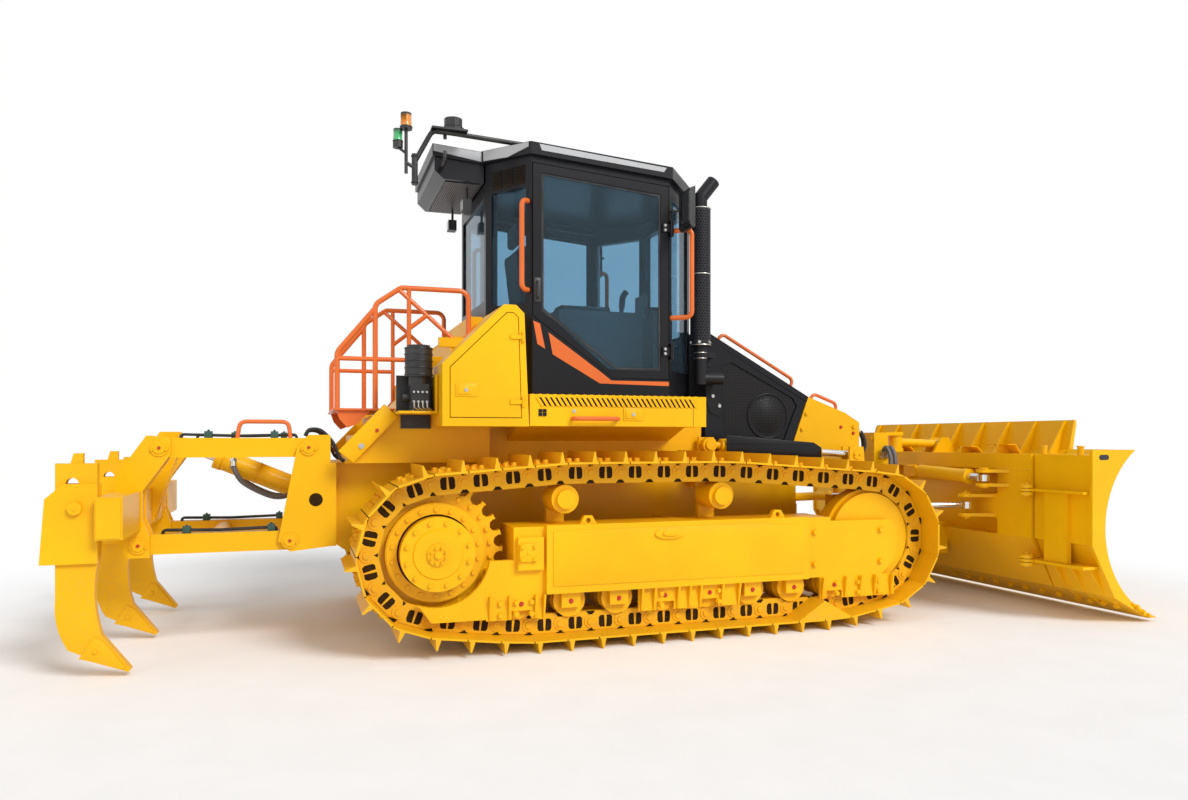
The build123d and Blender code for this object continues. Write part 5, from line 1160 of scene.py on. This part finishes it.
for name, side in both_sides:
    wing_bolts, wing_edge, hole = bmesh.new(), bmesh.new(), bmesh.new()
    for y in (1.290, 1.400, 1.510, 1.620):
        bolt(wing_bolts, (3.3005, side * y, 0.118), (-0.72, 0, -0.69), 0.040, 0.022)
    slab(wing_edge, ((3.300, 0.145), (3.316, 0.150), (3.461, 0.0605), (3.539, 0.031),
                     (3.500, 0.031), (3.420, 0.050)), side * 1.7255, side * 1.7340)
    for x, z in ((3.350, 0.118), (3.405, 0.080), (3.455, 0.052)):
        bolt(wing_bolts, (x, side * 1.734, z), (0, side, 0), 0.024, 0.012)
    # a thin black oval on the wing's side is painted shade in the lifting slot
    slot_shade = bmesh.new()
    outline = [(3.050 + 0.019 * cos(a) + (0.026 if cos(a) > 0 else -0.026),
                1.175 + 0.019 * sin(a)) for a in [pi * k / 12 for k in range(24)]]
    slab(slot_shade, outline, side * 1.7252, side * 1.7256)
    for a, b in (((2.965, 1.195), (3.255, 1.195)), ((2.967, 0.600), (2.967, 1.180))):
        weld(hole, (a[0], side * 1.700, a[1]), (b[0], side * 1.700, b[1]))
    for z, front in ((0.925, 2.968), (0.400, 3.060)):
        slab(hole, ((2.900, side * 1.270), (2.900, side * 1.690), (front, side * 1.690),
                    (front, side * 1.270)), z - 0.010, z + 0.010, "z")
    box(hole, (2.925, 2.966), (side * 1.330, side * 1.530), (0.412, 0.914))
    for y in (1.330, 1.480, 1.640):
        slab(hole, ((3.300, 0.092), (3.140, 0.200), (3.000, 0.392), (3.062, 0.392)),
             *off(side, y, -0.008, 0.008))
    for y in (1.240, 1.560):
        disc(hole, (3.020, side * y, 1.185), (0, 0, 1), 0.022, 0.060, 20)
        disc(hole, (3.020, side * y, 1.245), (0, 0, 1), 0.028, 0.010, 20, 0.9)
    finished(wing_bolts, "wing_bolts_" + name, yellow, "blade_wing_" + name)
    finished(wing_edge, "end_bit_" + name, yellow, "blade_wing_" + name)
    finished(slot_shade, "lifting_slot_" + name, pump_plastic, "blade_wing_" + name)
    finished(hole, "wing_ribs_" + name, yellow, "blade_wing_" + name, 60.0)


# ---------------------------------------------------------------- ripper
# Two pairs of plate links carry a box beam with three shanks, each pinned in a welded pocket.
# The points are cast, pushed over the shanks' ends, held by a drive pin and painted alike.
dress(yellow, "ripper_mount", "ripper_lower_arm", "ripper_upper_link", "ripper_toolbar",
      "ripper_barrel")
shank_paint = painted("shank_paint", (0.92, 0.48, 0.001), 0.42, 0.02, 0.10, 0.05, 0.03)
dress(shank_paint, "ripper_shanks")
mount_pins, bar_pins, red_dots, bar_dots, bar_trim = (bmesh.new() for i in range(5))
for side in (-1, 1):
    for mesh, dots, x, z in (
            (mount_pins, red_dots, -2.197, 1.249), (mount_pins, red_dots, -2.310, 0.665),
            (bar_pins, bar_dots, -3.050, 1.249), (bar_pins, bar_dots, -3.163, 0.665)):
        disc(mesh, (x, side * 0.525, z), (0, side, 0), 0.052, 0.010, 36, 0.97)
        disc(mesh, (x, side * 0.535, z), (0, side, 0), 0.036, 0.008, 32, 0.95)
        disc(dots, (x, side * 0.543, z), (0, side, 0), 0.010, 0.010, 12, 0.7)
        for way in (-1, 1):
            bolt(mesh, (x + way * 0.040, side * 0.535, z - 0.012), (0, side, 0), 0.014, 0.008)
    disc(mount_pins, (-2.135, side * 0.065, 0.910), (0, side, 0), 0.038, 0.010, 28)
    disc(bar_pins, (-3.050, side * 0.075, 1.300), (0, side, 0), 0.046, 0.012, 28)
for y in (-0.95, 0.0, 0.95):
    for way in (-1, 1):
        face = y + way * 0.073
        disc(bar_pins, (-3.390, face, 0.930), (0, way, 0), 0.036, 0.010, 28, 0.96)
        disc(bar_trim, (-3.390, face + way * 0.010, 0.930), (0, way, 0), 0.012, 0.005, 16, 0.9)
    for way in (-1, 1):
        for z in (0.70, 0.80, 0.90):
            weld(bar_trim, (-3.288, y + way * 0.059, z), (-3.288, y + way * 0.059, z + 0.085))
for side in (-1, 1):
    box(bar_trim, (-3.278, -3.160), (side * 1.080, side * 1.086), (0.768, 0.982))
finished(mount_pins, "mount_pin_caps", yellow)
finished(red_dots, "mount_grease_caps", red_plastic)
finished(bar_pins, "toolbar_pin_caps", yellow, "ripper_toolbar")
finished(bar_dots, "toolbar_grease_caps", red_plastic, "ripper_toolbar")
finished(bar_trim, "toolbar_trim", yellow, "ripper_toolbar")

# the points on the shanks, their joints and drive pins
points = bmesh.new()
for y in (-0.95, 0.0, 0.95):
    for way in (-1, 1):
        near, far = y + way * 0.0300, y + way * 0.0385
        slab(points, ((-3.379, 0.116), (-3.305, 0.230), (-3.262, 0.205), (-3.150, 0.050),
                      (-3.170, 0.040), (-3.320, 0.098)), near, far)
        disc(points, (-3.300, y + way * 0.0385, 0.150), (0, way, 0), 0.014, 0.008, 20, 0.9)
softened(points, 0.003, 2, 40.0)
finished(points, "ripper_points", shank_paint, "ripper_toolbar")

# hoses and clamps along the links, the handle, and the hose that feeds the ripper cylinder
clamp_green = painted("clamp_green", (0.045, 0.10, 0.085), 0.45, 0.0, 0.2, 0.05)
# label, body, the links' top, the clamps' x on the right and on the left, and the hoses' ends
for label, body, top, right, left, far, near in (
        ("upper", "ripper_upper_link", 1.309, (-2.785, -2.402), (-2.693, -2.360), -2.94, -2.27),
        ("lower", "ripper_lower_arm", 0.725, (-2.908, -2.421), (-2.879, -2.392), -3.04, -2.39)):
    clamps, lines = bmesh.new(), bmesh.new()
    z = top + 0.018
    for x, y in [(x, -0.450) for x in right] + [(x, 0.450) for x in left]:
        box(clamps, (x - 0.022, x + 0.022), (y - 0.032, y + 0.032), (z - 0.018, z + 0.024))
        bolt(clamps, (x, y, z + 0.024), (0, 0, 1), 0.014, 0.008)
    for side in (-1, 1):
        for step in (-0.015, 0.015):
            y = side * 0.450 + step
            tube(lines, arc_points(((far, y, z - 0.030), (far, y, z + 0.004),
                                    ((far + near) / 2, y, z - 0.004), (near, y, z + 0.004),
                                    (near, y, z - 0.030)), 0.020, 4), 0.0085, 10)
    softened(clamps, 0.004)
    finished(clamps, label + "_pipe_clamps", clamp_green, body)
    finished(lines, label + "_link_hoses", rubber, body)
lever = bmesh.new()
tube(lever, arc_points(((-2.306, -0.470, 1.300), (-2.318, -0.470, 1.412), (-2.604, -0.470, 1.412),
                        (-2.620, -0.470, 1.300)), 0.040, 4), 0.013, 12)
finished(lever, "ripper_grab_handle", orange, "ripper_upper_link")
barrel_trim = bmesh.new()
bands(barrel_trim, (-2.135, 0.0, 0.910), (-3.050, 0.0, 1.300), (0.150, 0.420, 0.650), 0.0710)
finished(barrel_trim, "ripper_barrel_bands", yellow, "ripper_barrel")
for word, side in both_sides:
    hose(((-2.671, side * 0.050, 1.165), (-2.660, side * 0.085, 1.100),
          (-2.603, side * 0.095, 1.012), (-2.457, side * 0.095, 0.930),
          (-2.362, side * 0.090, 0.915), (-2.262, side * 0.058, 0.950)), 0.017,
         "ripper_hose_" + word, braid, "ripper_barrel")
    for number, y in enumerate((0.440, 0.465)):
        hose([(x, side * y, z) for x, z in (
            (-2.215, 1.326), (-2.190, 1.362), (-2.120, 1.355), (-2.050, 1.280), (-2.010, 1.190),
            (-1.975, 1.155))], 0.012, "feed_hose_" + word + "_" + str(number), rubber, "chassis",
             False)
# thin near-black discs on the mount's sides are painted shade in the port openings
port_shade = bmesh.new()
for side in (-1, 1):
    disc(port_shade, (-2.154, side * 0.5252, 0.918), (0, side, 0), 0.042, 0.0012, 32)
finished(port_shade, "hose_port_shade", painted_gap_shade, "chassis")
